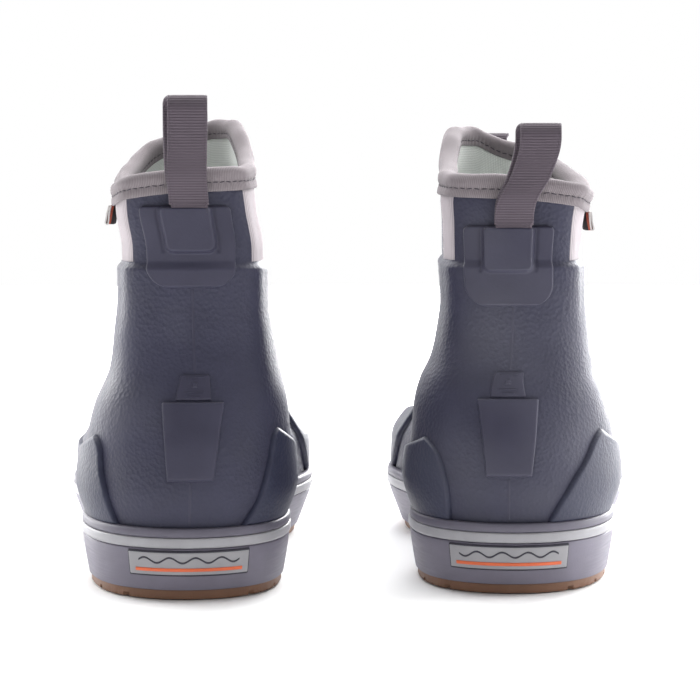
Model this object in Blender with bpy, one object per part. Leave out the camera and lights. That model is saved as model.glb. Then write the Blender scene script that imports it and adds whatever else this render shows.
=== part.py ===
"""Solid model of a pair of ankle deck boots.

Run with:  blender --background --python part.py

Every length is in metres.  A boot is shaped in its own frame: x runs towards the other foot
(medial), y from the heel to the toe, z up from the ground.  The upper is a stack of horizontal
slices.  A place on it is (angle, z): the angle is 0 at the heel, 90 degrees on the medial side
and 180 degrees at the toe, and lateral angles are negative.
"""

import math
from dataclasses import dataclass

import bpy
import numpy as np

MM = 0.001
DEG = math.pi / 180

# Slices of the upper's base surface: (height, value) in millimetres.
BACK_LINE = ((16, 5), (28, 5), (44, 2), (60, 3.5), (75, 7.5), (90, 13), (105, 16.5), (120, 17.5),
             (137, 17.5), (160, 17), (205, 15))
FRONT_LINE = ((16, 284), (28, 284), (44, 283), (50, 279), (58, 264), (64, 244), (72, 219),
              (82, 195), (94, 174), (108, 157), (125, 145), (137, 141), (160, 135), (205, 129))
# Half widths at places along a slice (0 heel, 1 toe), each a curve over the height.
HALF_WIDTHS = {
    0.00: ((28, 70), (60, 68), (75, 64), (105, 58), (137, 61), (205, 61)),
    0.14: ((28, 53.3), (44, 59), (60, 56.6), (75, 53), (90, 46), (105, 42.6), (120, 40.3),
           (137, 40.5), (205, 41.2)),
    0.40: ((28, 35.7), (44, 37.8), (60, 35.7), (75, 34), (90, 32), (105, 30.6), (120, 29.5),
           (137, 29.4), (205, 30.2)),
    0.67: ((28, 54.3), (44, 53.6), (50, 50.5), (60, 41.8), (75, 33), (90, 29.3), (120, 28.7),
           (205, 28)),
    0.90: ((28, 61.7), (44, 60.3), (50, 55.5), (60, 43), (75, 36), (105, 36), (120, 33), (205, 32)),
    1.00: ((28, 72), (44, 70), (60, 55), (75, 42), (90, 38), (120, 36), (205, 35)),
}
# Sideways bend of the sole's centre line, towards the medial side, along the slice.
SOLE_BEND = ((0, 0), (0.4, -2.5), (0.7, 1.5), (1, 7))
# Top line of the upper: (degrees from the heel, medial positive; rise in millimetres).
COLLAR_RISE = ((-180, 16.5), (-150, 11.5), (-130, 6.5), (-110, 2), (-90, -2), (-55, -5.8),
               (-25, -2.6), (0, 0), (30, 1), (60, 2.2), (90, 8), (115, 17), (135, 21), (155, 21),
               (180, 16.5))

LEDGE_Z = 133.5 * MM
LEDGE_STEP = 2.0 * MM
LEDGE_HALF_RISE = 0.9 * MM
SHELL_INNER = -1.6 * MM
LINER_OUTER = -2.9 * MM
LINER_INNER = -3.8 * MM
LINER_FOOT_INSET = 0.6 * MM
GAP = 0.45 * MM
OVERLAY_GAP = 0.8 * MM
PATCH_GAP = 0.7 * MM
# Heights of the rings of points between the sole and the ledge.
SHELL_LEVELS = (29 * MM, 42 * MM, 54 * MM, 64 * MM, 76 * MM, 90 * MM, 105 * MM, 119 * MM)
# Rows of the shaft above the ledge, as shares of the way to the collar.
SHAFT_SHARES = (0.3, 0.55, 0.78, 1.0)

TOE_LIFT = 7 * MM
TOE_LIFT_START = 205 * MM
TOE_LIFT_LENGTH = 85 * MM
# The underside of the forefoot is narrower than the top of the rubber band.
FOREFOOT_NARROWING = 0.09
NARROWING_TOP = 21 * MM
# The front of the shaft leans inwards from this place on along the boot.
TURN_Y = 40 * MM
TURN_LENGTH = 100 * MM
# A boot's width factors leave the middle of the shaft as it is and act beside it, more strongly.
STEADY_HALF_WIDTH = 10 * MM
SIDE_STRENGTH = 1.3
# The rear loops sit beside the middle of their patches, both towards the same hand.
LOOP_OFF_CENTRE = 1.9 * MM

GORE_REAR = 28 * DEG
GORE_FRONT = 75 * DEG
GORE_SIDE_GAP = 0.6 * DEG
GORE_BOTTOM = LEDGE_Z + LEDGE_HALF_RISE
COLLAR_TUCK = 2.2 * MM

OUTSOLE_TOP = 3.5 * MM
OUTSOLE_EDGE = 1.6 * MM
GROOVE_DEPTH = 1.6 * MM
GROOVE_HALF_WIDTH = 1.1 * MM
GROOVE_SLOPE = 0.4 * MM
GROOVE_FIRST_Y = 15 * MM
GROOVE_PITCH = 17 * MM
GROOVE_COUNT = 16
SHELL_BOTTOM = 17 * MM
FOOTBED_BOTTOM = 20.8 * MM
FOXING_TOP = 28.6 * MM
FOXING_INNER = LEDGE_STEP + GAP
FOXING_CORE = 0.75 * MM
# Outside of the rubber band round the sole: (height, distance outside the base surface).
FOXING_OUTSIDE = ((3.8, 2.6), (10, 3.7), (16, 4.6), (21, 5.2), (25, 5.4), (28.6, 5.4))

BINDING_DEPTH = 9.3 * MM
HEEL_ARC = 90 * MM  # distance round the heel's side for each radian of slice angle
REAR_PATCH_HEIGHT = 33 * MM
REAR_PATCH_HALF_WIDTH = 18.5 * MM
FRONT_PATCH_HEIGHT = 27 * MM
FRONT_PATCH_HALF_WIDTH = 13 * MM
FRONT_PATCH_RAISE = 4 * MM
PAD_HALF_WIDTH = 9.8 * MM
REAR_PAD_HEIGHT = 18.7 * MM
FRONT_PAD_HEIGHT = 16 * MM

WEBBING_WIDTH = 16 * MM
WEBBING_HALF_THICKNESS = 0.65 * MM
LOOP_BASE_RADIUS = 0.95 * MM
LOOP_TOP_RADIUS = 5.0 * MM
LOOP_BASE_OUT = 3.1 * MM
LOOP_BULGE_HEIGHT = 12 * MM
LOOP_LIFT = 1.95 * MM
REAR_LOOP_BULGE = 2.8 * MM
FRONT_LOOP_BULGE = 3.2 * MM
FRONT_LOOP_SHORTER = 8 * MM

FLAG_LENGTH = 14 * MM
FLAG_DROP = 7.4 * MM
FLAG_RADIUS = 0.55 * MM
FLAG_TILT = 17 * DEG
FLAG_Y = 52 * MM

RUBBER = (66, 65, 81)
OVERLAY_RUBBER = (60, 62, 80)
PATCH_RUBBER = (73, 71, 86)
BAND_RUBBER = (116, 113, 125)
TOP_BAND_RUBBER = (101, 99, 110)
STRIPE_RUBBER = (152, 152, 156)
GUM = (122, 89, 70)
LABEL = (146, 146, 150)
ORANGE = (225, 110, 70)
WEBBING = (90, 82, 92)
BINDING = (128, 120, 124)
GORE_CLOTH = (200, 192, 196)
LINER_CLOTH = (190, 198, 192)
FOAM = (70, 74, 84)
BOARD = (176, 160, 134)
STEEL = (150, 152, 156)


@dataclass
class Boot:
    """What differs between the left and the right boot."""

    name: str
    side: int
    place: tuple
    toe_out: float
    collar: float
    patch_top: float
    loop_height: float
    loop_lean: float
    medial_edge: tuple
    lateral_edge: tuple
    shifts: tuple
    widths: tuple
    turn: float
    patch_centre: float
    parent: bpy.types.Object = None


# An overlay's rear edge is (height, distance from the heel's middle) in mm, up to its top.
# The shifts (towards the other foot, in mm) and the width factors are curves over the height.
LEFT = Boot(
    name="left", side=1, place=(-64.5 * MM, -151.4 * MM, 0), toe_out=3.3 * DEG,
    collar=172.6 * MM, patch_top=158 * MM, loop_height=42.5 * MM, loop_lean=0.5 * DEG,
    medial_edge=((27, 18.2), (42, 26.4), (56, 29.6), (67, 30.9)),
    lateral_edge=((27, 26), (41, 31.5), (51, 33.8), (57, 34.2), (64, 35.6)),
    shifts=((20, 0), (45, 0.6), (75, 1.6), (90, 2.6), (110, 2), (140, 1.8), (155, -0.5),
            (170, -1.8)),
    widths=((150, 1), (158, 0.985), (170, 0.945)),
    turn=0.02, patch_centre=-0.5 * MM)
RIGHT = Boot(
    name="right", side=-1, place=(64.5 * MM, -137.4 * MM, 0), toe_out=-3.3 * DEG,
    collar=169.6 * MM, patch_top=149.5 * MM, loop_height=40 * MM, loop_lean=9 * DEG,
    medial_edge=((28, 21.8), (41, 22.9), (53, 25.7), (62, 30.5)),
    lateral_edge=((30, 15.2), (37, 19), (46, 24.6), (54, 29.6), (65, 34)),
    shifts=((20, 0), (60, 0), (85, 0.7), (94, -0.7), (119, -1.4), (136, -0.9), (158, -1.5),
            (168, -3.4)),
    widths=((85, 1), (102, 0.96), (136, 0.975), (150, 1), (160, 1.05), (168, 1.07)),
    turn=0.11, patch_centre=1.6 * MM)


# ---------------------------------------------------------------- curves and surfaces

def smooth_curve(knots, rows, places):
    """Read a smooth curve without overshoot; rows has a line of values for each knot."""
    knots = np.asarray(knots, float)
    rows = np.asarray(rows, float).reshape(len(knots), -1) + np.zeros((1, places.size))
    secants = np.diff(rows, axis=0) / np.diff(knots)[:, None]
    product = secants[:-1] * secants[1:]
    total = np.where(product > 0, secants[:-1] + secants[1:], 1)
    inner = np.where(product > 0, 2 * product / total, 0)
    slopes = np.vstack((secants[:1], inner, secants[-1:]))
    cell = np.clip(np.searchsorted(knots, places, side="right") - 1, 0, len(knots) - 2)
    column = np.arange(places.size)
    width = knots[cell + 1] - knots[cell]
    s = np.clip((places - knots[cell]) / width, 0, 1)
    start, end = rows[cell, column], rows[cell + 1, column]
    rise_start, rise_end = slopes[cell, column] * width, slopes[cell + 1, column] * width
    return (start * (1 + 2 * s) * (1 - s) ** 2 + rise_start * s * (1 - s) ** 2
            + end * s * s * (3 - 2 * s) + rise_end * s * s * (s - 1))


def read_line(line, places):
    """Read a curve given as (place, value) points."""
    knots, values = zip(*line)
    return smooth_curve(knots, values, places)


def smooth_step(low, high, value):
    s = np.clip((value - low) / (high - low), 0, 1)
    return s * s * (3 - 2 * s)


def slice_shape(angle, z):
    """Centre line, half width and ends of the slice, in metres, for flat arrays."""
    height = z / MM
    along = (1 - np.cos(angle)) / 2
    widths = np.vstack([read_line(line, height) for line in HALF_WIDTHS.values()])
    half = smooth_curve(list(HALF_WIDTHS), widths, along)
    bend = read_line(SOLE_BEND, along) * (1 - smooth_step(50, 95, height))
    back, front = read_line(BACK_LINE, height), read_line(FRONT_LINE, height)
    return bend * MM, half * MM, back * MM, front * MM


def base_point(angle, z):
    """Points of the base surface for arrays of angles and heights."""
    angle, z = np.broadcast_arrays(np.asarray(angle, float), np.asarray(z, float))
    flat_angle, flat_z = angle.ravel(), z.ravel()
    centre, half, back, front = slice_shape(flat_angle, flat_z)
    along = (1 - np.cos(flat_angle)) / 2
    points = np.column_stack((centre + half * np.sin(flat_angle), back + along * (front - back),
                              flat_z))
    return points.reshape(angle.shape + (3,))


def upper_point(angle, z, offset):
    """Points at a distance outside the base surface."""
    turn, rise = 0.002, 0.3 * MM
    across = base_point(angle + turn, z) - base_point(angle - turn, z)
    up = base_point(angle, z + rise) - base_point(angle, z - rise)
    normal = np.cross(across, up)
    normal /= np.linalg.norm(normal, axis=-1, keepdims=True)
    return base_point(angle, z) + normal * np.asarray(offset)[..., None]


def sole_point(angle, z, offset):
    """Points at height z, level with the sole's outline moved outwards by the offset."""
    turn = 0.002
    angle, z = np.broadcast_arrays(np.asarray(angle, float), np.asarray(z, float))
    level = np.full(angle.shape, FOXING_TOP)
    across = base_point(angle + turn, level) - base_point(angle - turn, level)
    across /= np.linalg.norm(across, axis=-1, keepdims=True)
    points = base_point(angle, level)
    points[..., 0] += across[..., 1] * offset
    points[..., 1] -= across[..., 0] * offset
    points[..., 2] = z
    return points


def foxing_point(angle, z, offset):
    """Points at a distance outside the rubber band round the sole."""
    flat = np.asarray(z, float).ravel() / MM
    outside = read_line(FOXING_OUTSIDE, flat).reshape(np.shape(z)) * MM
    return sole_point(angle, z, outside + offset)


def angle_at_side(x, z, front=False):
    """Angle of the place with the given x, on the heel's half or the toe's half."""
    x, z = np.broadcast_arrays(np.asarray(x, float), np.asarray(z, float))
    angle = np.full(x.size, math.pi if front else 0.0)
    for _ in range(12):
        centre, half, _back, _front = slice_shape(angle, z.ravel())
        lean = np.arcsin(np.clip((x.ravel() - centre) / half, -0.98, 0.98))
        angle = math.pi - lean if front else lean
    return angle.reshape(x.shape)


def angle_at_length(y, z):
    """Medial angle of the place with the given y."""
    y, z = np.broadcast_arrays(np.asarray(y, float), np.asarray(z, float))
    back = read_line(BACK_LINE, z.ravel() / MM).reshape(z.shape) * MM
    front = read_line(FRONT_LINE, z.ravel() / MM).reshape(z.shape) * MM
    return np.arccos(np.clip(1 - 2 * (y - back) / (front - back), -1, 1))


def collar_height(boot, angle):
    """Top line of the upper: low at the outer ankle, high at the inner front corner."""
    degrees = (np.degrees(np.asarray(angle, float)) + 180) % 360 - 180
    rise = read_line(COLLAR_RISE, degrees.ravel()).reshape(degrees.shape)
    return boot.collar + rise * MM


def wall_offset(z):
    """Outside of the shell: the thick rubber ends at the ledge below the gores."""
    return LEDGE_STEP * (1 - smooth_step(LEDGE_Z - LEDGE_HALF_RISE, LEDGE_Z + LEDGE_HALF_RISE, z))


def corner_inset(distance, radius):
    """How far a rounded corner draws the side in, at a distance from the end."""
    left = np.clip(radius - distance, 0, radius)
    return radius - np.sqrt(radius ** 2 - left ** 2)


def half_angles():
    """Columns on the medial side, heel to toe, with one on each edge of the gore."""
    return np.concatenate((np.linspace(0, GORE_REAR, 4)[:-1],
                           np.linspace(GORE_REAR, GORE_FRONT, 8)[:-1],
                           np.linspace(GORE_FRONT, math.pi, 11)))


def shell_angles():
    """Columns all the way round the upper."""
    half = half_angles()
    return np.concatenate((half, -half[-2:0:-1]))


# ---------------------------------------------------------------- mesh building

def make_material(name, colour, roughness, metallic=0.0):
    """Plain material; the colour is given as display values from 0 to 255."""
    material = bpy.data.materials.new(name)
    material.use_nodes = True
    shader = material.node_tree.nodes["Principled BSDF"]
    linear = [((c / 255 + 0.055) / 1.055) ** 2.4 for c in colour]
    shader.inputs["Base Color"].default_value = (*linear, 1)
    shader.inputs["Roughness"].default_value = roughness
    shader.inputs["Metallic"].default_value = metallic
    return material


def fit_to_foot(boot, points):
    """Lift the toe, narrow the forefoot's underside, and shift, widen and bend the shaft."""
    shaped = np.array(points, float).reshape(-1, 3)
    x, y, z = shaped.T.copy()
    height = z / MM
    beyond = np.clip(y - TOE_LIFT_START, 0, None) / TOE_LIFT_LENGTH
    below = np.clip((NARROWING_TOP - z) / NARROWING_TOP, 0, 1)
    x = x * (1 - FOREFOOT_NARROWING * below * smooth_step(70, 130, y / MM))
    outside = np.sign(x) * np.clip(np.abs(x) - STEADY_HALF_WIDTH, 0, None)
    x = x + outside * SIDE_STRENGTH * (read_line(boot.widths, height) - 1)
    bend = np.clip(y - TURN_Y, 0, None) ** 2 / TURN_LENGTH * boot.turn
    shaped[:, 0] = x + read_line(boot.shifts, height) * MM + bend * smooth_step(80, 140, height)
    shaped[:, 2] = z + TOE_LIFT * beyond ** 2
    return shaped


def add_node(boot, name, points, faces, colour, roughness, metallic=0.0, pivot=(0, 0, 0)):
    """Make one named solid of a boot; a pivot becomes the object's origin."""
    pivot = fit_to_foot(boot, pivot)[0]
    placed = fit_to_foot(boot, points) - pivot
    placed[:, 0] *= boot.side
    if boot.side < 0:
        faces = [face[::-1] for face in faces]
    mesh = bpy.data.meshes.new(name)
    mesh.from_pydata(placed.tolist(), [], faces)
    mesh.materials.append(make_material(f"{name}_{boot.name}", colour, roughness, metallic))
    mesh.shade_smooth()
    mesh.set_sharp_from_angle(angle=38 * DEG)
    node = bpy.data.objects.new(f"{name}_{boot.name}", mesh)
    bpy.context.scene.collection.objects.link(node)
    node.parent = boot.parent
    node.location = (pivot[0] * boot.side, pivot[1], pivot[2])
    return node


def grid_solid(outer, inner, keep=None, closed=False):
    """Points and faces of the solid between two grids of points.

    Grid lines run round the boot first and upwards second; keep(i, j) drops cells.
    """
    columns, rows = outer.shape[:2]
    points = np.concatenate((outer.reshape(-1, 3), inner.reshape(-1, 3)))
    inside = columns * rows

    def corner(i, j):
        return (i % columns) * rows + j

    cells = {(i, j) for i in range(columns if closed else columns - 1) for j in range(rows - 1)
             if keep is None or keep(i, j)}
    faces = []
    for i, j in sorted(cells):
        loop = [corner(i, j), corner(i + 1, j), corner(i + 1, j + 1), corner(i, j + 1)]
        faces.append(loop)
        faces.append([inside + k for k in reversed(loop)])
        neighbours = [(i, j - 1), (i + 1, j), (i, j + 1), (i - 1, j)]
        for k, neighbour in enumerate(neighbours):
            if closed:
                neighbour = (neighbour[0] % columns, neighbour[1])
            if neighbour not in cells:
                a, b = loop[k], loop[(k + 1) % 4]
                faces.append([b, a, inside + a, inside + b])
    used = sorted({k for face in faces for k in face})
    new_index = {k: n for n, k in enumerate(used)}
    return points[used], [[new_index[k] for k in face] for face in faces]


def ring_solid(rings):
    """Points and faces of a closed profile carried round a closed path."""
    columns, count = rings.shape[:2]
    faces = []
    for i in range(columns):
        for j in range(count):
            after, above = (i + 1) % columns, (j + 1) % count
            faces.append([i * count + j, after * count + j, after * count + above,
                          i * count + above])
    return rings.reshape(-1, 3), faces


def slab_solid(angles, offset, bottom, top):
    """Points and faces of a flat piece of the sole's outline; bottom has a value per row."""
    rows = len(angles) - 1
    loop = np.concatenate((angles, -angles[-2:0:-1]))
    row_of = [k if k <= rows else 2 * rows - k for k in range(2 * rows)]
    bottoms = np.broadcast_to(bottom, (rows + 1,))[row_of]
    points = np.concatenate((sole_point(loop, bottoms, offset),
                             sole_point(loop, np.full(loop.size, top), offset)))
    count = loop.size
    faces = []
    for k in range(count):
        after = (k + 1) % count
        faces.append([k, after, count + after, count + k])
    for i in range(rows):
        cap = [i, i + 1, count - i - 1, (count - i) % count]
        cap = [k for n, k in enumerate(cap) if k not in cap[:n]]
        faces.append([count + k for k in cap])
        faces.append(cap[::-1])
    return points, faces


def prism_solid(outline, half_length, axis_points):
    """Points and faces of a flat outline drawn out along a side direction."""
    count = len(outline)
    points = np.concatenate([axis_points(outline, shift) for shift in (-half_length, half_length)])
    faces = [list(range(count))[::-1], list(range(count, 2 * count))]
    for k in range(count):
        after = (k + 1) % count
        faces.append([k, after, count + after, count + k])
    return points, faces


def panel_solid(u_steps, v_steps, place, inner, outer, point=upper_point):
    """A piece laid on a surface; place(u, v) gives angle and height, outer(u, v) the outside."""
    u, v = np.meshgrid(u_steps, v_steps, indexing="ij")
    angle, z = place(u, v)
    inside = inner(z) if callable(inner) else np.full(z.shape, inner)
    outside = outer(u, v) if callable(outer) else np.full(z.shape, outer)
    border = np.zeros(z.shape, bool)
    border[[0, -1], :] = True
    border[:, [0, -1]] = True
    outside = np.where(border, inside + 0.45 * (outside - inside), outside)
    return grid_solid(point(angle, z, outside), point(angle, z, inside))


def edge_steps(count, rim):
    """Even steps from 0 to 1 with a narrow first and last one for a rounded rim."""
    return np.concatenate(([0], np.linspace(rim, 1 - rim, count), [1]))


# ---------------------------------------------------------------- sole

def add_outsole(boot):
    """Gum sole with a row of grooves across its underside, open at both sides."""
    length = base_point(0.0, FOXING_TOP)[1], base_point(math.pi, FOXING_TOP)[1]
    rows = [(length[0], 0.0), (length[0] + 2 * MM, 0.0), (length[0] + 5 * MM, 0.0)]
    for k in range(GROOVE_COUNT):
        middle = GROOVE_FIRST_Y + k * GROOVE_PITCH
        for side, depth in ((-1, 0.0), (-1, GROOVE_DEPTH), (1, GROOVE_DEPTH), (1, 0.0)):
            slope = GROOVE_SLOPE if depth == 0.0 else 0.0
            rows.append((middle + side * (GROOVE_HALF_WIDTH + slope), depth))
    rows += [(length[1] - 6 * MM, 0.0), (length[1] - 2 * MM, 0.0), (length[1], 0.0)]
    rows = [row for row in rows if row[0] <= length[1]]
    angles = angle_at_length(np.array([y for y, _ in rows]), FOXING_TOP)
    points, faces = slab_solid(angles, OUTSOLE_EDGE, np.array([z for _, z in rows]), OUTSOLE_TOP)
    add_node(boot, "outsole", points, faces, GUM, 0.6)


def add_sole_core(boot):
    """Midsole, shank, insole board and footbed, from the ground up."""
    angles = half_angles()
    layers = (("midsole", 0.3 * MM, 3.8 * MM, 15.8 * MM, FOAM, 0.8),
              ("insole_board", -2.4 * MM, 18.4 * MM, 20.3 * MM, BOARD, 0.85),
              ("footbed", -5.2 * MM, FOOTBED_BOTTOM, FOOTBED_BOTTOM + 5.7 * MM, FOAM, 0.9))
    for name, offset, bottom, top, colour, roughness in layers:
        points, faces = slab_solid(angles, offset, bottom, top)
        add_node(boot, name, points, faces, colour, roughness)
    half_width, rear, front = 9 * MM, 70 * MM, 150 * MM
    corner = 4 * MM
    outline = [(side * (half_width - inset), y) for side, y, inset in (
        (-1, rear, corner), (1, rear, corner), (1, rear + corner, 0), (1, front - corner, 0),
        (1, front, corner), (-1, front, corner), (-1, front - corner, 0), (-1, rear + corner, 0))]
    points, faces = prism_solid(outline, 0.8 * MM, lambda line, shift: np.array(
        [(x, y, 17.1 * MM + shift) for x, y in line]))
    add_node(boot, "shank", points, faces, STEEL, 0.35, 1.0)


def add_foxing(boot):
    """The three rubber bands that wrap the sole: main band, light stripe and top band."""
    angles = shell_angles()
    inner, core = FOXING_INNER / MM, FOXING_CORE / MM
    # Each profile is a loop of (distance outside the base surface, height) in millimetres.
    bands = (("foxing", ((2.6, 3.8), (3.7, 10), (4.6, 16), (5.1, 20.9), (inner, 20.9),
                         (inner, 16.3), (core, 15.9), (core, 3.8)), BAND_RUBBER),
             ("foxing_stripe", ((5.5, 21.2), (5.7, 23.1), (5.5, 25.1), (inner, 25.1),
                                (inner, 21.2)), STRIPE_RUBBER),
             ("foxing_top_band", ((5.2, 25.4), (5.4, 27.6), (4.6, 28.6), (inner, 28.6),
                                  (inner, 25.4)), TOP_BAND_RUBBER))
    for name, profile, colour in bands:
        rings = np.stack([sole_point(angles, np.full(angles.size, z * MM), offset * MM)
                          for offset, z in profile], axis=1)
        add_node(boot, name, *ring_solid(rings), colour, 0.55)


def add_heel_label(boot):
    """Heel label on the rubber band, with a raised orange bar and no lettering."""
    half_angle, bottom, top = 18.5 * DEG, 9.6 * MM, 20.2 * MM
    points, faces = panel_solid(
        edge_steps(7, 0.02), edge_steps(2, 0.08),
        lambda u, v: ((2 * u - 1) * half_angle, bottom + v * (top - bottom)),
        0.4 * MM, 1.3 * MM, foxing_point)
    add_node(boot, "heel_label", points, faces, LABEL, 0.5)
    points, faces = panel_solid(
        np.linspace(0, 1, 8), np.linspace(0, 1, 3),
        lambda u, v: ((2 * u - 1) * half_angle * 0.86, 12 * MM + v * 1.5 * MM),
        1.6 * MM, 2.1 * MM, foxing_point)
    add_node(boot, "heel_label_bar", points, faces, ORANGE, 0.5)


def add_toe_bumper(boot):
    """Extra rubber strip round the toe end of the sole."""
    half_angle, bottom, top = 36 * DEG, 6 * MM, 20 * MM
    points, faces = panel_solid(
        edge_steps(9, 0.03), edge_steps(2, 0.12),
        lambda u, v: (math.pi + (2 * u - 1) * half_angle, bottom + v * (top - bottom)),
        0.7 * MM, 1.9 * MM, foxing_point)
    add_node(boot, "toe_bumper", points, faces, BAND_RUBBER, 0.6)


# ---------------------------------------------------------------- upper

def add_shell(boot):
    """Moulded rubber upper with a cut-out for each gore, open at the top and the bottom."""
    angles = shell_angles()
    levels = np.array((SHELL_BOTTOM, *SHELL_LEVELS, LEDGE_Z - LEDGE_HALF_RISE, GORE_BOTTOM))
    top = collar_height(boot, angles) - COLLAR_TUCK
    shares = np.array(SHAFT_SHARES)
    shaft = GORE_BOTTOM + shares * (top[:, None] - GORE_BOTTOM)
    z = np.concatenate((np.broadcast_to(levels, (angles.size, levels.size)), shaft), axis=1)
    angle = np.broadcast_to(angles[:, None], z.shape)
    first_shaft_row = levels.size - 1

    def keep(i, j):
        middle = abs(angles[i] + angles[(i + 1) % angles.size]) / 2
        over_gore = GORE_REAR < middle < GORE_FRONT
        return j < first_shaft_row or not over_gore

    points, faces = grid_solid(upper_point(angle, z, wall_offset(z)),
                               upper_point(angle, z, np.full(z.shape, SHELL_INNER)),
                               keep, closed=True)
    add_node(boot, "upper_shell", points, faces, RUBBER, 0.6)


def add_liner(boot):
    """Cloth lining from the footbed to the collar."""
    angles = shell_angles()
    levels = (FOOTBED_BOTTOM, *SHELL_LEVELS, LEDGE_Z)
    top = collar_height(boot, angles) - COLLAR_TUCK
    z = np.column_stack([np.full(angles.size, level) for level in levels]
                        + [LEDGE_Z + share * (top - LEDGE_Z) for share in SHAFT_SHARES])
    angle = np.broadcast_to(angles[:, None], z.shape)
    inset = LINER_FOOT_INSET * (1 - smooth_step(105 * MM, LEDGE_Z, z))
    points, faces = grid_solid(upper_point(angle, z, LINER_OUTER - inset),
                               upper_point(angle, z, LINER_INNER - inset), closed=True)
    add_node(boot, "liner", points, faces, LINER_CLOTH, 0.95)


def add_gores(boot):
    """Elastic panel in each side of the shaft, from the ledge to the collar."""
    for name, side in (("gore_medial", 1), ("gore_lateral", -1)):
        low, high = sorted((side * (GORE_REAR + GORE_SIDE_GAP),
                            side * (GORE_FRONT - GORE_SIDE_GAP)))

        def place(u, v):
            angle = low + u * (high - low)
            bottom = GORE_BOTTOM + GAP
            return angle, bottom + v * (collar_height(boot, angle) - COLLAR_TUCK - bottom)

        points, faces = panel_solid(np.linspace(0, 1, 6), (0, *SHAFT_SHARES), place,
                                    -1.6 * MM, -0.1 * MM)
        add_node(boot, name, points, faces, GORE_CLOTH, 0.9)


def add_binding(boot):
    """Tape folded over the top edge of shell, gores and liner."""
    angles = shell_angles()
    low = -BINDING_DEPTH / MM
    # A loop of (distance outside the base surface, height from the top line) in millimetres.
    profile = ((0.4, low), (1.3, low), (1.3, -1.4), (-1.7, 0.4), (-5.0, -1.4), (-5.0, -8),
               (-4.2, -8), (-4.2, -1.3), (0.4, -1.3))
    top = collar_height(boot, angles)
    rings = np.stack([upper_point(angles, top + rise * MM, np.full(angles.size, offset * MM))
                      for offset, rise in profile], axis=1)
    add_node(boot, "collar_binding", *ring_solid(rings), BINDING, 0.9)


def overlay_faces(boot, edge, side):
    """Rubber overlay on one side of the heel, running forward along the foxing."""
    bottom, rear_top, front_top = FOXING_TOP + 1.4 * MM, edge[-1][0] * MM, 50 * MM
    rear_radius, front_radius = 6 * MM, 9 * MM
    front_bottom_y, front_top_y = 104 * MM, 92 * MM

    def place(u, v):
        if side < 0:
            u = 1 - u
        top = rear_top + u * (front_top - rear_top)
        z = bottom + v * (top - bottom)
        from_top = top - z
        edge_x = read_line(edge, z.ravel() / MM).reshape(z.shape) * MM
        front_y = front_bottom_y + v * (front_top_y - front_bottom_y)
        front_y = front_y - corner_inset(from_top, front_radius)
        rear = np.abs(angle_at_side(side * edge_x, z))
        rear = rear + corner_inset(from_top, rear_radius) / HEEL_ARC
        front = angle_at_length(front_y, z)
        return side * (rear + u * (front - rear)), z

    return panel_solid(edge_steps(7, 0.02), np.array([0, 0.05, 0.35, 0.65, 0.85, 0.96, 1]), place,
                       LEDGE_STEP + OVERLAY_GAP, LEDGE_STEP + OVERLAY_GAP + 1.6 * MM)


def add_overlays(boot):
    """Heel-side overlays, one on each side."""
    for name, edge, side in (("quarter_overlay_medial", boot.medial_edge, 1),
                             ("quarter_overlay_lateral", boot.lateral_edge, -1)):
        points, faces = overlay_faces(boot, edge, side)
        add_node(boot, name, points, faces, OVERLAY_RUBBER, 0.6)


def add_toe_guard(boot):
    """Rubber guard round the forefoot, highest at its rear tip on the inner side."""
    bottom, toe_top = FOXING_TOP + 1.2 * MM, 46 * MM
    medial_top, lateral_top = 60 * MM, 44 * MM
    rear_bottom_y, rear_top_y = 186 * MM, 154 * MM

    def place(u, v):
        tip_top = np.where(u < 0.5, medial_top, lateral_top)
        top = toe_top + (tip_top - toe_top) * (2 * u - 1) ** 2
        z = bottom + v * (top - bottom)
        rear_y = rear_bottom_y + v * (rear_top_y - rear_bottom_y)
        rear_y = rear_y + corner_inset(top - z, 8 * MM)
        rear = angle_at_length(rear_y, z)
        return math.pi + (2 * u - 1) * (math.pi - rear), z

    points, faces = panel_solid(edge_steps(25, 0.008), np.array([0, 0.05, 0.35, 0.65, 0.93, 1]),
                                place, LEDGE_STEP + OVERLAY_GAP,
                                LEDGE_STEP + OVERLAY_GAP + 1.4 * MM)
    add_node(boot, "toe_guard", points, faces, OVERLAY_RUBBER, 0.6)


def add_heel_plates(boot):
    """Raised kick plate on the heel and the small blank size tab above it."""
    plates = (("kick_plate", 48, 79, 8.75, 12, 1.8, PATCH_RUBBER),
              ("size_tab", 79.5, 89.6, 7, 7, 1.1, PATCH_RUBBER))
    for name, bottom, top, low_half, high_half, thickness, colour in plates:
        def place(u, v):
            z = (bottom + v * (top - bottom)) * MM
            half = (low_half + v * (high_half - low_half)) * MM
            return angle_at_side((2 * u - 1) * half, z), z

        points, faces = panel_solid(edge_steps(3, 0.07), edge_steps(3, 0.05), place,
                                    LEDGE_STEP + GAP, LEDGE_STEP + GAP + thickness * MM)
        add_node(boot, name, points, faces, colour, 0.5)


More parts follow.
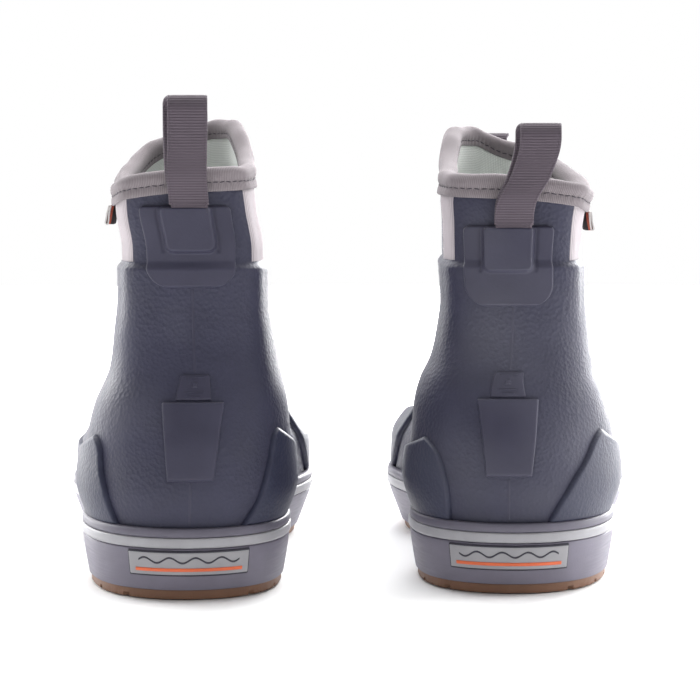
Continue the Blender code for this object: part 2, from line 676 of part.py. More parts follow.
def add_patch(boot, name, top, height, half_width, pad_height, front):
    """Moulded patch that holds a pull loop, with a raised pad over the webbing's end."""
    bottom = top - height
    centre = 0.0 if front else boot.patch_centre
    pad_low = 1 - pad_height / height
    pad_u = 0.5 * PAD_HALF_WIDTH / half_width
    u_steps = np.array([0, 0.04, 0.5 - pad_u - 0.03, 0.5 - pad_u, 0.5 - pad_u / 3,
                        0.5 + pad_u / 3, 0.5 + pad_u, 0.5 + pad_u + 0.03, 0.96, 1])
    ledge = (LEDGE_Z - bottom) / height
    step = 2 * LEDGE_HALF_RISE / height
    v_steps = np.sort([0, 0.04, 0.12, ledge, ledge + step, pad_low - 0.03, pad_low, 0.8, 0.96, 1])

    def place(u, v):
        z = bottom + v * height
        half = half_width * (0.93 + 0.07 * v)
        half = half - corner_inset(z - bottom, 9 * MM) - corner_inset(top - z, 2.5 * MM)
        shift = (2 * u - 1) * half
        return angle_at_side(centre - shift if front else centre + shift, z, front), z

    def outer(u, v):
        on_pad = (np.abs(u - 0.5) <= pad_u + 1e-6) & (v >= pad_low - 1e-6)
        return np.where(on_pad, 5.5, 4.2) * MM

    def inner(z):
        return wall_offset(z - LEDGE_HALF_RISE) + PATCH_GAP

    points, faces = panel_solid(u_steps, v_steps, place, inner, outer)
    add_node(boot, name, points, faces, PATCH_RUBBER, 0.5)


# ---------------------------------------------------------------- moving pieces

def loop_outline(height, growth):
    """Outline round the loop's two ends, seen from the side, with points along the legs."""
    top_centre = height - LOOP_TOP_RADIUS - WEBBING_HALF_THICKNESS
    tilt = math.asin((LOOP_TOP_RADIUS - LOOP_BASE_RADIUS) / top_centre)
    ends = []
    for centre, radius, start, stop, count in (
            (0.0, LOOP_BASE_RADIUS, math.pi + tilt, 2 * math.pi - tilt, 5),
            (top_centre, LOOP_TOP_RADIUS, -tilt, math.pi + tilt, 9)):
        turn = np.linspace(start, stop, count)
        ends.append(np.column_stack(((radius + growth) * np.cos(turn),
                                     centre + (radius + growth) * np.sin(turn))))
    shares = np.array([0.15, 0.3, 0.5, 0.75])[:, None]
    rising = ends[0][-1] + shares * (ends[1][0] - ends[0][-1])
    falling = ends[1][-1] + (1 - shares[::-1]) * (ends[0][0] - ends[1][-1])
    return np.concatenate((ends[0], rising, ends[1], falling))


def add_loop(boot, name, base, outwards, height, lean, bulge):
    """Webbing loop standing on its base, where its hinge line runs from side to side."""
    columns = []
    for shift in (-WEBBING_WIDTH / 2, WEBBING_WIDTH / 2):
        layers = []
        for growth in (WEBBING_HALF_THICKNESS, -WEBBING_HALF_THICKNESS):
            out, up = loop_outline(height, growth).T
            away = bulge * smooth_step(0, LOOP_BULGE_HEIGHT, up)
            x = base[0] + shift + up * math.tan(lean)
            y = base[1] + outwards * (out + away)
            layers.append(np.column_stack((x, y, base[2] + up)))
        columns.append(layers)
    outer = np.stack((columns[0][0], columns[1][0]), axis=1)
    inner = np.stack((columns[0][1], columns[1][1]), axis=1)
    points, faces = grid_solid(outer, inner, closed=True)
    if outwards < 0:
        faces = [face[::-1] for face in faces]
    add_node(boot, name, points, faces, WEBBING, 0.9, pivot=base)


def add_pull_loops(boot):
    """Rear and front pull loops on their patches."""
    rear_z = boot.patch_top + LOOP_LIFT
    rear_x = boot.patch_centre + boot.side * LOOP_OFF_CENTRE
    rear = upper_point(angle_at_side(rear_x, rear_z), rear_z, LOOP_BASE_OUT)
    add_loop(boot, "rear_pull_loop", rear, -1, boot.loop_height, boot.side * boot.loop_lean,
             REAR_LOOP_BULGE)
    front_z = boot.patch_top + FRONT_PATCH_RAISE + LOOP_LIFT
    front = upper_point(angle_at_side(0.0, front_z, True), front_z, LOOP_BASE_OUT)
    add_loop(boot, "front_pull_loop", front, 1, boot.loop_height - FRONT_LOOP_SHORTER, 0.0,
             FRONT_LOOP_BULGE)


def add_flag(boot):
    """Small cloth tag that hangs from the binding on the outer side."""
    angle = -angle_at_length(FLAG_Y, boot.collar - BINDING_DEPTH)
    z = collar_height(boot, angle) - BINDING_DEPTH - FLAG_RADIUS - 0.6 * MM
    pivot = upper_point(angle, z, 1.35 * MM)
    outline = []
    for centre, start, stop, count in ((0.0, 0, math.pi, 7), (-FLAG_DROP, math.pi, 2 * math.pi, 5)):
        for turn in np.linspace(start, stop, count):
            outline.append((FLAG_RADIUS * math.cos(turn), centre + FLAG_RADIUS * math.sin(turn)))

    def place(line, shift):
        turned = [(x * math.cos(FLAG_TILT) + z * math.sin(FLAG_TILT),
                   -x * math.sin(FLAG_TILT) + z * math.cos(FLAG_TILT)) for x, z in line]
        return np.array([(pivot[0] + x, pivot[1] + shift, pivot[2] + z) for x, z in turned])

    points, faces = prism_solid(outline, FLAG_LENGTH / 2, place)
    add_node(boot, "side_flag", points, [face[::-1] for face in faces], ORANGE, 0.8, pivot=pivot)


# ---------------------------------------------------------------- the pair

def build_boot(boot):
    """Make every piece of one boot under its own empty."""
    boot.parent = bpy.data.objects.new(f"boot_{boot.name}", None)
    bpy.context.scene.collection.objects.link(boot.parent)
    boot.parent.location = boot.place
    boot.parent.rotation_euler = (0, 0, boot.toe_out)
    add_outsole(boot)
    add_sole_core(boot)
    add_foxing(boot)
    add_heel_label(boot)
    add_toe_bumper(boot)
    add_shell(boot)
    add_liner(boot)
    add_gores(boot)
    add_binding(boot)
    add_overlays(boot)
    add_toe_guard(boot)
    add_heel_plates(boot)
    add_patch(boot, "rear_patch", boot.patch_top, REAR_PATCH_HEIGHT, REAR_PATCH_HALF_WIDTH,
              REAR_PAD_HEIGHT, False)
    add_patch(boot, "front_patch", boot.patch_top + FRONT_PATCH_RAISE, FRONT_PATCH_HEIGHT,
              FRONT_PATCH_HALF_WIDTH, FRONT_PAD_HEIGHT, True)
    add_pull_loops(boot)
    add_flag(boot)


def main():
    for old in list(bpy.data.objects):
        bpy.data.objects.remove(old)
    for boot in (LEFT, RIGHT):
        build_boot(boot)
    bpy.context.view_layer.update()


main()
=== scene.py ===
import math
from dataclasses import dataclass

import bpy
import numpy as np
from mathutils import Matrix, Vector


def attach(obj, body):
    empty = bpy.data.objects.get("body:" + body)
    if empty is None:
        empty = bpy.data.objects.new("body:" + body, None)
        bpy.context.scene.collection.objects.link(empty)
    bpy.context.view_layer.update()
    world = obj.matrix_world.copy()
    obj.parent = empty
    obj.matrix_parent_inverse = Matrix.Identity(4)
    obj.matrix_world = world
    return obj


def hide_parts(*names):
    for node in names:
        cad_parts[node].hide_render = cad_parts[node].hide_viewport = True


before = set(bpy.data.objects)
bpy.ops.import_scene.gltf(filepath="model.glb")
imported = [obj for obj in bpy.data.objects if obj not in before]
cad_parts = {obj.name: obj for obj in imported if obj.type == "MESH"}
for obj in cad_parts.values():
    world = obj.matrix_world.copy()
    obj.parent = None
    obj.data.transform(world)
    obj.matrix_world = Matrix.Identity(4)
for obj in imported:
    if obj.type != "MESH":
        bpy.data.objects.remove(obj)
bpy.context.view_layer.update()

# Detailed visual model of the pair of ankle deck boots.
#
# A boot is shaped in its own frame, in metres: x runs towards the other foot (medial), y from the
# heel to the toe, z up from the ground.  A place on the upper is (angle, z): the angle is 0 at
# the heel, 90 degrees on the medial side and 180 degrees at the toe; lateral angles are negative.

MM = 0.001
DEG = math.pi / 180

# Slices of the upper's base surface: (height, value) in millimetres.
BACK_LINE = ((16, 5), (28, 5), (44, 2), (60, 3.5), (75, 7.5), (90, 13), (105, 16.5), (120, 17.5),
             (137, 17.5), (160, 17), (205, 15))
FRONT_LINE = ((16, 284), (28, 284), (44, 283), (50, 279), (58, 264), (64, 244), (72, 219),
              (82, 195), (94, 174), (108, 157), (125, 145), (137, 141), (160, 135), (205, 129))
# Half widths at places along a slice (0 heel, 1 toe), each a curve over the height.
HALF_WIDTHS = {
    0.00: ((28, 70), (60, 68), (75, 64), (105, 58), (137, 61), (205, 61)),
    0.14: ((28, 53.3), (44, 59), (60, 56.6), (75, 53), (90, 46), (105, 42.6), (120, 40.3),
           (137, 40.5), (205, 41.2)),
    0.40: ((28, 35.7), (44, 37.8), (60, 35.7), (75, 34), (90, 32), (105, 30.6), (120, 29.5),
           (137, 29.4), (205, 30.2)),
    0.67: ((28, 54.3), (44, 53.6), (50, 50.5), (60, 41.8), (75, 33), (90, 29.3), (120, 28.7),
           (205, 28)),
    0.90: ((28, 61.7), (44, 60.3), (50, 55.5), (60, 43), (75, 36), (105, 36), (120, 33), (205, 32)),
    1.00: ((28, 72), (44, 70), (60, 55), (75, 42), (90, 38), (120, 36), (205, 35)),
}
SOLE_BEND = ((0, 0), (0.4, -2.5), (0.7, 1.5), (1, 7))
# Top line of the upper: (degrees from the heel, medial positive; rise in millimetres).
COLLAR_RISE = ((-180, 16.5), (-150, 11.5), (-130, 6.5), (-110, 2), (-90, -2), (-55, -5.8),
               (-25, -2.6), (0, 0), (30, 1), (60, 2.2), (90, 8), (115, 17), (135, 21), (155, 21),
               (180, 16.5))

LEDGE_Z = 133.5 * MM
LEDGE_STEP = 2.0 * MM
LEDGE_HALF_RISE = 1.5 * MM
SHELL_INNER = -1.6 * MM
LINER_OUTER = -2.6 * MM
LINER_INNER = -3.8 * MM
GORE_REAR = 28 * DEG
GORE_FRONT = 75 * DEG
COLLAR_TUCK = 2.2 * MM
BINDING_DEPTH = 9.3 * MM
STITCH_DROP = 5.6 * MM

TOE_LIFT = 7 * MM
TOE_LIFT_START = 205 * MM
TOE_LIFT_LENGTH = 85 * MM
# The underside of the forefoot is narrower than the top of the rubber band.
FOREFOOT_NARROWING = 0.09
NARROWING_TOP = 21 * MM
# The front of the shaft leans inwards from this place on along the boot.
TURN_Y = 40 * MM
TURN_LENGTH = 100 * MM
# A boot's width factors leave the middle of the shaft as it is and act beside it, more strongly.
STEADY_HALF_WIDTH = 10 * MM
SIDE_STRENGTH = 1.3
# The rear loops sit beside the middle of their patches, both towards the same hand.
LOOP_OFF_CENTRE = 1.9 * MM

FOXING_TOP = 28.6 * MM
FOXING_OUTSIDE = ((3.8, 2.6), (10, 3.7), (16, 4.6), (21, 5.2), (25, 5.4), (28.6, 5.4))
HEEL_ARC = 90 * MM

WEBBING_WIDTH = 16 * MM
WEBBING_HALF_THICKNESS = 0.65 * MM
RIB_PITCH = 1.15 * MM
RIB_DEPTH = 0.13 * MM
LOOP_BASE_RADIUS = 0.95 * MM
LOOP_TOP_RADIUS = 5.0 * MM
LOOP_BASE_OUT = 3.1 * MM
LOOP_BULGE_HEIGHT = 12 * MM
LOOP_LIFT = 1.95 * MM
REAR_BULGE = 2.8 * MM
FRONT_BULGE = 3.2 * MM
FRONT_LOOP_SHORTER = 8 * MM
FRONT_PATCH_RAISE = 4 * MM
PAD_HALF_WIDTH = 9.8 * MM
PAD_CORNER = 3 * MM
PAD_RISE = 5.2 * MM

FLAG_LENGTH = 14 * MM
FLAG_DROP = 7.4 * MM
FLAG_RADIUS = 0.55 * MM
FLAG_FOLD_RADIUS = 0.3 * MM
FLAG_FOLD_UP = 0.1 * MM
FLAG_HALF_THICKNESS = 0.28 * MM
FLAG_GAP = 0.6 * MM
FLAG_OUT = 1.35 * MM
FLAG_RIPPLE = 0.25 * MM
FLAG_TILT = 17 * DEG
FLAG_Y = 52 * MM
FLAG_TURN = 12 * DEG

CAMERA_DISTANCE = 1.0
CAMERA_HEIGHT = 0.1804
CAMERA_PITCH = 4.54 * DEG
CAMERA_LENS = 129.55
CAMERA_PLANE_Y = -151.4 * MM

WORLD_BEHIND = 1.0
WORLD_IN_FRONT = 0.42
WORLD_EDGE = 0.3
FLOOR_REACH = 2.2
LIGHT_TARGET = (0.0, 0.0, 0.1)
# Each studio light: name, size, power, place.
STUDIO_LIGHTS = (
    ("back_left", (1.2, 1.8), 42.0, (-1.4, 1.3, 0.8)),
    ("back_right", (1.5, 1.6), 125.0, (0.8, 1.8, 0.8)),
    ("side_right", (1.0, 1.6), 22.0, (1.7, 0.4, 0.7)),
    ("overhead", (1.6, 1.6), 40.0, (0.0, 0.6, 1.8)),
)


@dataclass
class Boot:
    """What differs between the left and the right boot."""

    name: str
    side: int
    place: tuple
    toe_out: float
    collar: float
    patch_top: float
    loop_height: float
    loop_lean: float
    medial_edge: tuple
    lateral_edge: tuple
    shifts: tuple
    widths: tuple
    turn: float
    patch_centre: float

    @property
    def body(self):
        return f"boot_{self.name}"


# An overlay's rear edge is (height, distance from the heel's middle) in mm, up to its top.
# The shifts (towards the other foot, in mm) and the width factors are curves over the height.
LEFT = Boot(
    name="left", side=1, place=(-64.5 * MM, -151.4 * MM, 0), toe_out=3.3 * DEG,
    collar=172.6 * MM, patch_top=158 * MM, loop_height=42.5 * MM, loop_lean=0.5 * DEG,
    medial_edge=((27, 18.2), (42, 26.4), (56, 29.6), (67, 30.9)),
    lateral_edge=((27, 26), (41, 31.5), (51, 33.8), (57, 34.2), (64, 35.6)),
    shifts=((20, 0), (45, 0.6), (75, 1.6), (90, 2.6), (110, 2), (140, 1.8), (155, -0.5),
            (170, -1.8)),
    widths=((150, 1), (158, 0.985), (170, 0.945)),
    turn=0.02, patch_centre=-0.5 * MM)
RIGHT = Boot(
    name="right", side=-1, place=(64.5 * MM, -137.4 * MM, 0), toe_out=-3.3 * DEG,
    collar=169.6 * MM, patch_top=149.5 * MM, loop_height=40 * MM, loop_lean=9 * DEG,
    medial_edge=((28, 21.8), (41, 22.9), (53, 25.7), (62, 30.5)),
    lateral_edge=((30, 15.2), (37, 19), (46, 24.6), (54, 29.6), (65, 34)),
    shifts=((20, 0), (60, 0), (85, 0.7), (94, -0.7), (119, -1.4), (136, -0.9), (158, -1.5),
            (168, -3.4)),
    widths=((85, 1), (102, 0.96), (136, 0.975), (150, 1), (160, 1.05), (168, 1.07)),
    turn=0.11, patch_centre=1.6 * MM)


# ---------------------------------------------------------------- curves and surfaces

def smooth_curve(knots, rows, places):
    """Read a smooth curve without overshoot; rows has a line of values for each knot."""
    knots = np.asarray(knots, float)
    rows = np.asarray(rows, float).reshape(len(knots), -1) + np.zeros((1, places.size))
    secants = np.diff(rows, axis=0) / np.diff(knots)[:, None]
    product = secants[:-1] * secants[1:]
    total = np.where(product > 0, secants[:-1] + secants[1:], 1)
    inner = np.where(product > 0, 2 * product / total, 0)
    slopes = np.vstack((secants[:1], inner, secants[-1:]))
    cell = np.clip(np.searchsorted(knots, places, side="right") - 1, 0, len(knots) - 2)
    column = np.arange(places.size)
    width = knots[cell + 1] - knots[cell]
    s = np.clip((places - knots[cell]) / width, 0, 1)
    start, end = rows[cell, column], rows[cell + 1, column]
    rise_start, rise_end = slopes[cell, column] * width, slopes[cell + 1, column] * width
    return (start * (1 + 2 * s) * (1 - s) ** 2 + rise_start * s * (1 - s) ** 2
            + end * s * s * (3 - 2 * s) + rise_end * s * s * (s - 1))


def read_line(line, places):
    """Read a curve given as (place, value) points."""
    knots, values = zip(*line)
    return smooth_curve(knots, values, places)


def smooth_step(low, high, value):
    s = np.clip((value - low) / (high - low), 0, 1)
    return s * s * (3 - 2 * s)


def slice_shape(angle, z):
    """Centre line, half width and ends of the slice, in metres, for flat arrays."""
    height = z / MM
    along = (1 - np.cos(angle)) / 2
    widths = np.vstack([read_line(line, height) for line in HALF_WIDTHS.values()])
    half = smooth_curve(list(HALF_WIDTHS), widths, along)
    bend = read_line(SOLE_BEND, along) * (1 - smooth_step(50, 95, height))
    back, front = read_line(BACK_LINE, height), read_line(FRONT_LINE, height)
    return bend * MM, half * MM, back * MM, front * MM


def base_point(angle, z):
    """Points of the base surface for arrays of angles and heights."""
    angle, z = np.broadcast_arrays(np.asarray(angle, float), np.asarray(z, float))
    flat_angle, flat_z = angle.ravel(), z.ravel()
    centre, half, back, front = slice_shape(flat_angle, flat_z)
    along = (1 - np.cos(flat_angle)) / 2
    points = np.column_stack((centre + half * np.sin(flat_angle), back + along * (front - back),
                              flat_z))
    return points.reshape(angle.shape + (3,))


def upper_point(angle, z, offset):
    """Points at a distance outside the base surface."""
    turn, rise = 0.002, 0.3 * MM
    across = base_point(angle + turn, z) - base_point(angle - turn, z)
    up = base_point(angle, z + rise) - base_point(angle, z - rise)
    normal = np.cross(across, up)
    normal /= np.linalg.norm(normal, axis=-1, keepdims=True)
    return base_point(angle, z) + normal * np.asarray(offset)[..., None]


def sole_point(angle, z, offset):
    """Points at height z, level with the sole's outline moved outwards by the offset."""
    turn = 0.002
    angle, z = np.broadcast_arrays(np.asarray(angle, float), np.asarray(z, float))
    level = np.full(angle.shape, FOXING_TOP)
    across = base_point(angle + turn, level) - base_point(angle - turn, level)
    across /= np.linalg.norm(across, axis=-1, keepdims=True)
    points = base_point(angle, level)
    points[..., 0] += across[..., 1] * offset
    points[..., 1] -= across[..., 0] * offset
    points[..., 2] = z
    return points


def foxing_point(angle, z, offset):
    """Points at a distance outside the rubber band round the sole."""
    flat = np.asarray(z, float).ravel() / MM
    outside = read_line(FOXING_OUTSIDE, flat).reshape(np.shape(z)) * MM
    return sole_point(angle, z, outside + offset)


def angle_at_side(x, z, front=False):
    """Angle of the place with the given x, on the heel's half or the toe's half."""
    x, z = np.broadcast_arrays(np.asarray(x, float), np.asarray(z, float))
    angle = np.full(x.size, math.pi if front else 0.0)
    for _ in range(12):
        centre, half, _back, _front = slice_shape(angle, z.ravel())
        lean = np.arcsin(np.clip((x.ravel() - centre) / half, -0.98, 0.98))
        angle = math.pi - lean if front else lean
    return angle.reshape(x.shape)


def angle_at_length(y, z):
    """Medial angle of the place with the given y."""
    y, z = np.broadcast_arrays(np.asarray(y, float), np.asarray(z, float))
    back = read_line(BACK_LINE, z.ravel() / MM).reshape(z.shape) * MM
    front = read_line(FRONT_LINE, z.ravel() / MM).reshape(z.shape) * MM
    return np.arccos(np.clip(1 - 2 * (y - back) / (front - back), -1, 1))


def collar_height(boot, angle):
    """Top line of the upper: low at the outer ankle, high at the inner front corner."""
    degrees = (np.degrees(np.asarray(angle, float)) + 180) % 360 - 180
    rise = read_line(COLLAR_RISE, degrees.ravel()).reshape(degrees.shape)
    return boot.collar + rise * MM


def wall_offset(z):
    """Outside of the shell: the thick rubber ends at the ledge below the gores."""
    return LEDGE_STEP * (1 - smooth_step(LEDGE_Z - LEDGE_HALF_RISE, LEDGE_Z + LEDGE_HALF_RISE, z))


def corner_inset(distance, radius):
    """How far a rounded corner draws the side in, at a distance from the end."""
    left = np.clip(radius - distance, 0, radius)
    return radius - np.sqrt(radius ** 2 - left ** 2)


def ring_angles(rear, gore, front):
    """Columns all the way round, with one on each edge of the gores."""
    half = np.concatenate((np.linspace(0, GORE_REAR, rear)[:-1],
                           np.linspace(GORE_REAR, GORE_FRONT, gore)[:-1],
                           np.linspace(GORE_FRONT, math.pi, front)))
    return np.concatenate((half, -half[-2:0:-1]))


# ---------------------------------------------------------------- mesh building

# Steps in a panel's rounded rim, and the share of its height that the rim starts with.
RIM_STEPS = 5
RIM_START = 0.12


def fit_to_foot(boot, points):
    """Lift the toe, narrow the forefoot's underside, and shift, widen and bend the shaft."""
    shaped = np.array(points, float).reshape(-1, 3)
    x, y, z = shaped.T.copy()
    height = z / MM
    beyond = np.clip(y - TOE_LIFT_START, 0, None) / TOE_LIFT_LENGTH
    below = np.clip((NARROWING_TOP - z) / NARROWING_TOP, 0, 1)
    x = x * (1 - FOREFOOT_NARROWING * below * smooth_step(70, 130, y / MM))
    outside = np.sign(x) * np.clip(np.abs(x) - STEADY_HALF_WIDTH, 0, None)
    x = x + outside * SIDE_STRENGTH * (read_line(boot.widths, height) - 1)
    bend = np.clip(y - TURN_Y, 0, None) ** 2 / TURN_LENGTH * boot.turn
    shaped[:, 0] = x + read_line(boot.shifts, height) * MM + bend * smooth_step(80, 140, height)
    shaped[:, 2] = z + TOE_LIFT * beyond ** 2
    return shaped


def to_world(boot, points):
    """Points of the boot's own frame, moved to where the boot stands."""
    flat = fit_to_foot(boot, points)
    flat[:, 0] *= boot.side
    c, s = math.cos(boot.toe_out), math.sin(boot.toe_out)
    turned = np.column_stack((flat[:, 0] * c - flat[:, 1] * s, flat[:, 0] * s + flat[:, 1] * c,
                              flat[:, 2]))
    return turned + np.array(boot.place)


def turned_over(shape):
    """The same shape with its faces turned the other way."""
    points, faces, places = shape
    return points, [face[::-1] for face in faces], [corners[::-1] for corners in places]


def add_piece(boot, name, shape, material, nodes=(), body=None, smooth=60):
    """Make one piece of a boot from points, faces and texture places in metres."""
    points, faces, places = turned_over(shape) if boot.side < 0 else shape
    mesh = bpy.data.meshes.new(f"{name}_{boot.name}_detail")
    mesh.from_pydata(to_world(boot, points).tolist(), [], faces)
    layer = mesh.uv_layers.new(name="cloth_metres")
    layer.data.foreach_set("uv", np.array([c for corners in places for c in corners]).ravel())
    mesh.materials.append(MATERIALS[material])
    mesh.shade_smooth()
    mesh.set_sharp_from_angle(angle=smooth * DEG)
    piece = bpy.data.objects.new(f"{name}_{boot.name}_detail", mesh)
    bpy.context.scene.collection.objects.link(piece)
    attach(piece, body or boot.body)
    if nodes:
        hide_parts(*[f"{node}_{boot.name}" for node in nodes])


def path_lengths(points, closed=False):
    """Distance along a line of points, with one more value at the end when it is closed."""
    if closed:
        points = np.concatenate((points, points[:1]))
    steps = np.linalg.norm(np.diff(points, axis=0), axis=1)
    return np.concatenate(([0], np.cumsum(steps)))


def cell_corners(i, j):
    """The four corners of a cell of a grid."""
    return [(i, j), (i + 1, j), (i + 1, j + 1), (i, j + 1)]


def grid_shape(outer, inner, keep=None, closed=False):
    """The solid between two grids of points; keep(i, j) drops cells."""
    columns, rows = outer.shape[:2]
    points = np.concatenate((outer.reshape(-1, 3), inner.reshape(-1, 3)))
    inside = columns * rows
    along = path_lengths(outer[:, rows // 2], closed)
    upward = path_lengths(outer[columns // 2])
    cells = {(i, j) for i in range(columns if closed else columns - 1) for j in range(rows - 1)
             if keep is None or keep(i, j)}
    faces, places = [], []
    for i, j in sorted(cells):
        corners = cell_corners(i, j)
        loop = [(a % columns) * rows + b for a, b in corners]
        spots = [(along[a], upward[b]) for a, b in corners]
        faces += [loop, [inside + k for k in reversed(loop)]]
        places += [spots, spots[::-1]]
        for k, (a, b) in enumerate(((i, j - 1), (i + 1, j), (i, j + 1), (i - 1, j))):
            if ((a % columns) if closed else a, b) not in cells:
                after = (k + 1) % 4
                faces.append([loop[after], loop[k], inside + loop[k], inside + loop[after]])
                places.append([spots[after], spots[k], spots[k], spots[after]])
    used = sorted({k for face in faces for k in face})
    new_index = {k: n for n, k in enumerate(used)}
    return points[used], [[new_index[k] for k in face] for face in faces], places


def two_sided_shape(across, line, closed=False):
    """The solid between two faces of a strip; line(side, place) gives the points at a place."""
    outer, inner = [np.stack([line(side, place) for place in across], axis=1) for side in (1, -1)]
    return grid_shape(outer, inner, closed=closed)


def ring_shape(rings):
    """A closed profile carried round a closed path."""
    columns, count = rings.shape[:2]
    along = path_lengths(rings[:, 0], True)
    round_it = path_lengths(rings[0], True)
    cells = [cell_corners(i, j) for i in range(columns) for j in range(count)]
    faces = [[a % columns * count + b % count for a, b in corners] for corners in cells]
    places = [[(along[a], round_it[b]) for a, b in corners] for corners in cells]
    return rings.reshape(-1, 3), faces, places


def merge_shapes(shapes):
    """Several shapes in one mesh."""
    faces, places = [], []
    count = 0
    for some_points, some_faces, some_places in shapes:
        faces += [[k + count for k in face] for face in some_faces]
        places += some_places
        count += len(some_points)
    return np.concatenate([shape[0] for shape in shapes]), faces, places


def rim_steps(count, rim):
    """Steps from 0 to 1 that crowd at both ends, for a rounded rim."""
    turn = np.linspace(0, math.pi / 2, RIM_STEPS + 1)[:-1]
    start = rim * (1 - np.cos(turn))
    return np.concatenate((start, np.linspace(rim, 1 - rim, count), 1 - start[::-1]))


def rim_height(step, rim):
    """Height share of a rounded rim: 0 at the ends, 1 inside."""
    share = np.clip(np.minimum(step, 1 - step) / rim, 0, 1)
    return np.sqrt(np.clip(1 - (1 - share) ** 2, 0, 1))


def panel_shape(counts, rims, place, inner, outer, point=upper_point):
    """A piece with rounded edges laid on a surface; place(u, v) gives angle and height."""
    u, v = np.meshgrid(*map(rim_steps, counts, rims), indexing="ij")
    angle, z = place(u, v)
    inside = inner(z) if callable(inner) else np.full(z.shape, inner)
    outside = outer(u, v) if callable(outer) else outer
    share = rim_height(u, rims[0]) * rim_height(v, rims[1])
    raised = inside + (outside - inside) * (RIM_START + (1 - RIM_START) * share)
    return grid_shape(point(angle, z, raised), point(angle, z, inside))


# ---------------------------------------------------------------- materials

class Paint:
    """Builds one procedural material node by node."""

    def __init__(self, name, roughness=0.6, sheen=0.0, specular=0.5):
        self.material = bpy.data.materials.new(name)
        self.material.use_nodes = True
        self.tree = self.material.node_tree
        self.shader = self.tree.nodes["Principled BSDF"]
        self.put(self.shader, {"Roughness": roughness, "Specular IOR Level": specular,
                               "Sheen Weight": sheen, "Sheen Roughness": 0.5})
        self.coords = self.tree.nodes.new("ShaderNodeTexCoord")

    def put(self, node, inputs):
        """Give a node's inputs their values, or link them to other nodes."""
        for key, value in inputs.items():
            if isinstance(value, bpy.types.NodeSocket):
                self.tree.links.new(value, node.inputs[key])
            else:
                node.inputs[key].default_value = value

    def node(self, kind, inputs, **settings):
        node = self.tree.nodes.new(kind)
        for key, value in settings.items():
            setattr(node, key, value)
        self.put(node, inputs)
        return node

    def noise(self, scale, detail=3.0):
        return self.node("ShaderNodeTexNoise", {
            "Vector": self.coords.outputs["Object"], "Scale": scale, "Detail": detail,
            "Roughness": 0.55}).outputs["Fac"]

    def streaks(self, source, stretch):
        """Noise drawn out along one direction."""
        stretched = self.node("ShaderNodeMapping", {
            "Vector": self.coords.outputs[source], "Scale": stretch}).outputs["Vector"]
        return self.node("ShaderNodeTexNoise", {"Vector": stretched, "Scale": 1.0,
                                                "Detail": 3.0}).outputs["Fac"]

    def cells(self, scale):
        return self.node("ShaderNodeTexVoronoi", {
            "Vector": self.coords.outputs["Object"], "Scale": scale}).outputs["Distance"]

    def math(self, operation, first, second=0.0):
        return self.node("ShaderNodeMath", {0: first, 1: second}, operation=operation).outputs[0]

    def spread(self, value, low, high, to_low=0.0, to_high=1.0):
        return self.node("ShaderNodeMapRange", {
            "Value": value, "From Min": low, "From Max": high, "To Min": to_low,
            "To Max": to_high}).outputs["Result"]

    def mix(self, share, first, second):
        """Mix two colours or two colour sockets."""
        return self.node("ShaderNodeMix", {0: share, 6: first, 7: second},
                         data_type="RGBA").outputs[2]

    def tone(self, value, low, high, colour, dark, light):
        """A colour that gets from darker to lighter as the value goes from low to high."""
        return self.mix(self.spread(value, low, high), shade(colour, dark), shade(colour, light))

    def ribs(self, pitch, along_u):
        """Rounded ribs, from 0 to 1, across one direction of the cloth's own places."""
        place = self.node("ShaderNodeSeparateXYZ", {"Vector": self.coords.outputs["UV"]})
        run = place.outputs["X" if along_u else "Y"]
        wave = self.math("SINE", self.math("MULTIPLY", run, 2 * math.pi / pitch))
        return self.spread(wave, -1.0, 1.0)

    def bumps(self, *layers):
        """One bump after another; each layer is (pattern, depth in metres)."""
        before = {}
        for height, distance in layers:
            node = self.node("ShaderNodeBump", {"Height": height, "Distance": distance,
                                                "Strength": 1.0, **before})
            before = {"Normal": node.outputs["Normal"]}
        return node.outputs["Normal"]

    def finish(self, colour, roughness, normal):
        self.put(self.shader, {"Base Color": colour, "Roughness": roughness, "Normal": normal})
        return self.material


def shade(colour, factor=1.0):
    """Linear colour of a display colour from 0 to 255, made lighter or darker."""
    return (*[((c / 255 + 0.055) / 1.055) ** 2.4 * factor for c in colour], 1.0)


def rubber_material(name, colour, grain, pebble, roughness=0.5):
    """Moulded rubber: pebbled grain, faint mottling, dull and polished spots."""
    paint = Paint(name, specular=0.3)
    mottle = paint.noise(45.0, 4.0)
    fine = paint.noise(1500.0)
    body = paint.tone(mottle, 0.3, 0.7, colour, 0.9, 1.1)
    body = paint.mix(paint.spread(paint.noise(9.0, 2.0), 0.55, 0.8, 0.0, 0.25), body,
                     shade((150, 150, 158)))
    rough = paint.math("ADD", paint.spread(mottle, 0.3, 0.7, roughness - 0.06, roughness + 0.06),
                       paint.math("MULTIPLY", fine, 0.06))
    return paint.finish(body, rough, paint.bumps((paint.cells(620.0), pebble), (fine, grain)))


def band_material(name, colour, roughness=0.5):
    """Calendered rubber band: smooth with fine lengthwise drag marks."""
    paint = Paint(name, specular=0.45)
    drag = paint.streaks("UV", (60.0, 1400.0, 1.0))
    speck = paint.noise(1300.0, 2.0)
    body = paint.tone(paint.noise(70.0, 4.0), 0.3, 0.7, colour, 0.92, 1.07)
    body = paint.mix(paint.spread(speck, 0.66, 0.76, 0.0, 0.35), body, shade(colour, 0.7))
    rough = paint.spread(drag, 0.3, 0.7, roughness - 0.07, roughness + 0.08)
    return paint.finish(body, rough, paint.bumps((drag, 0.00003), (speck, 0.00004)))


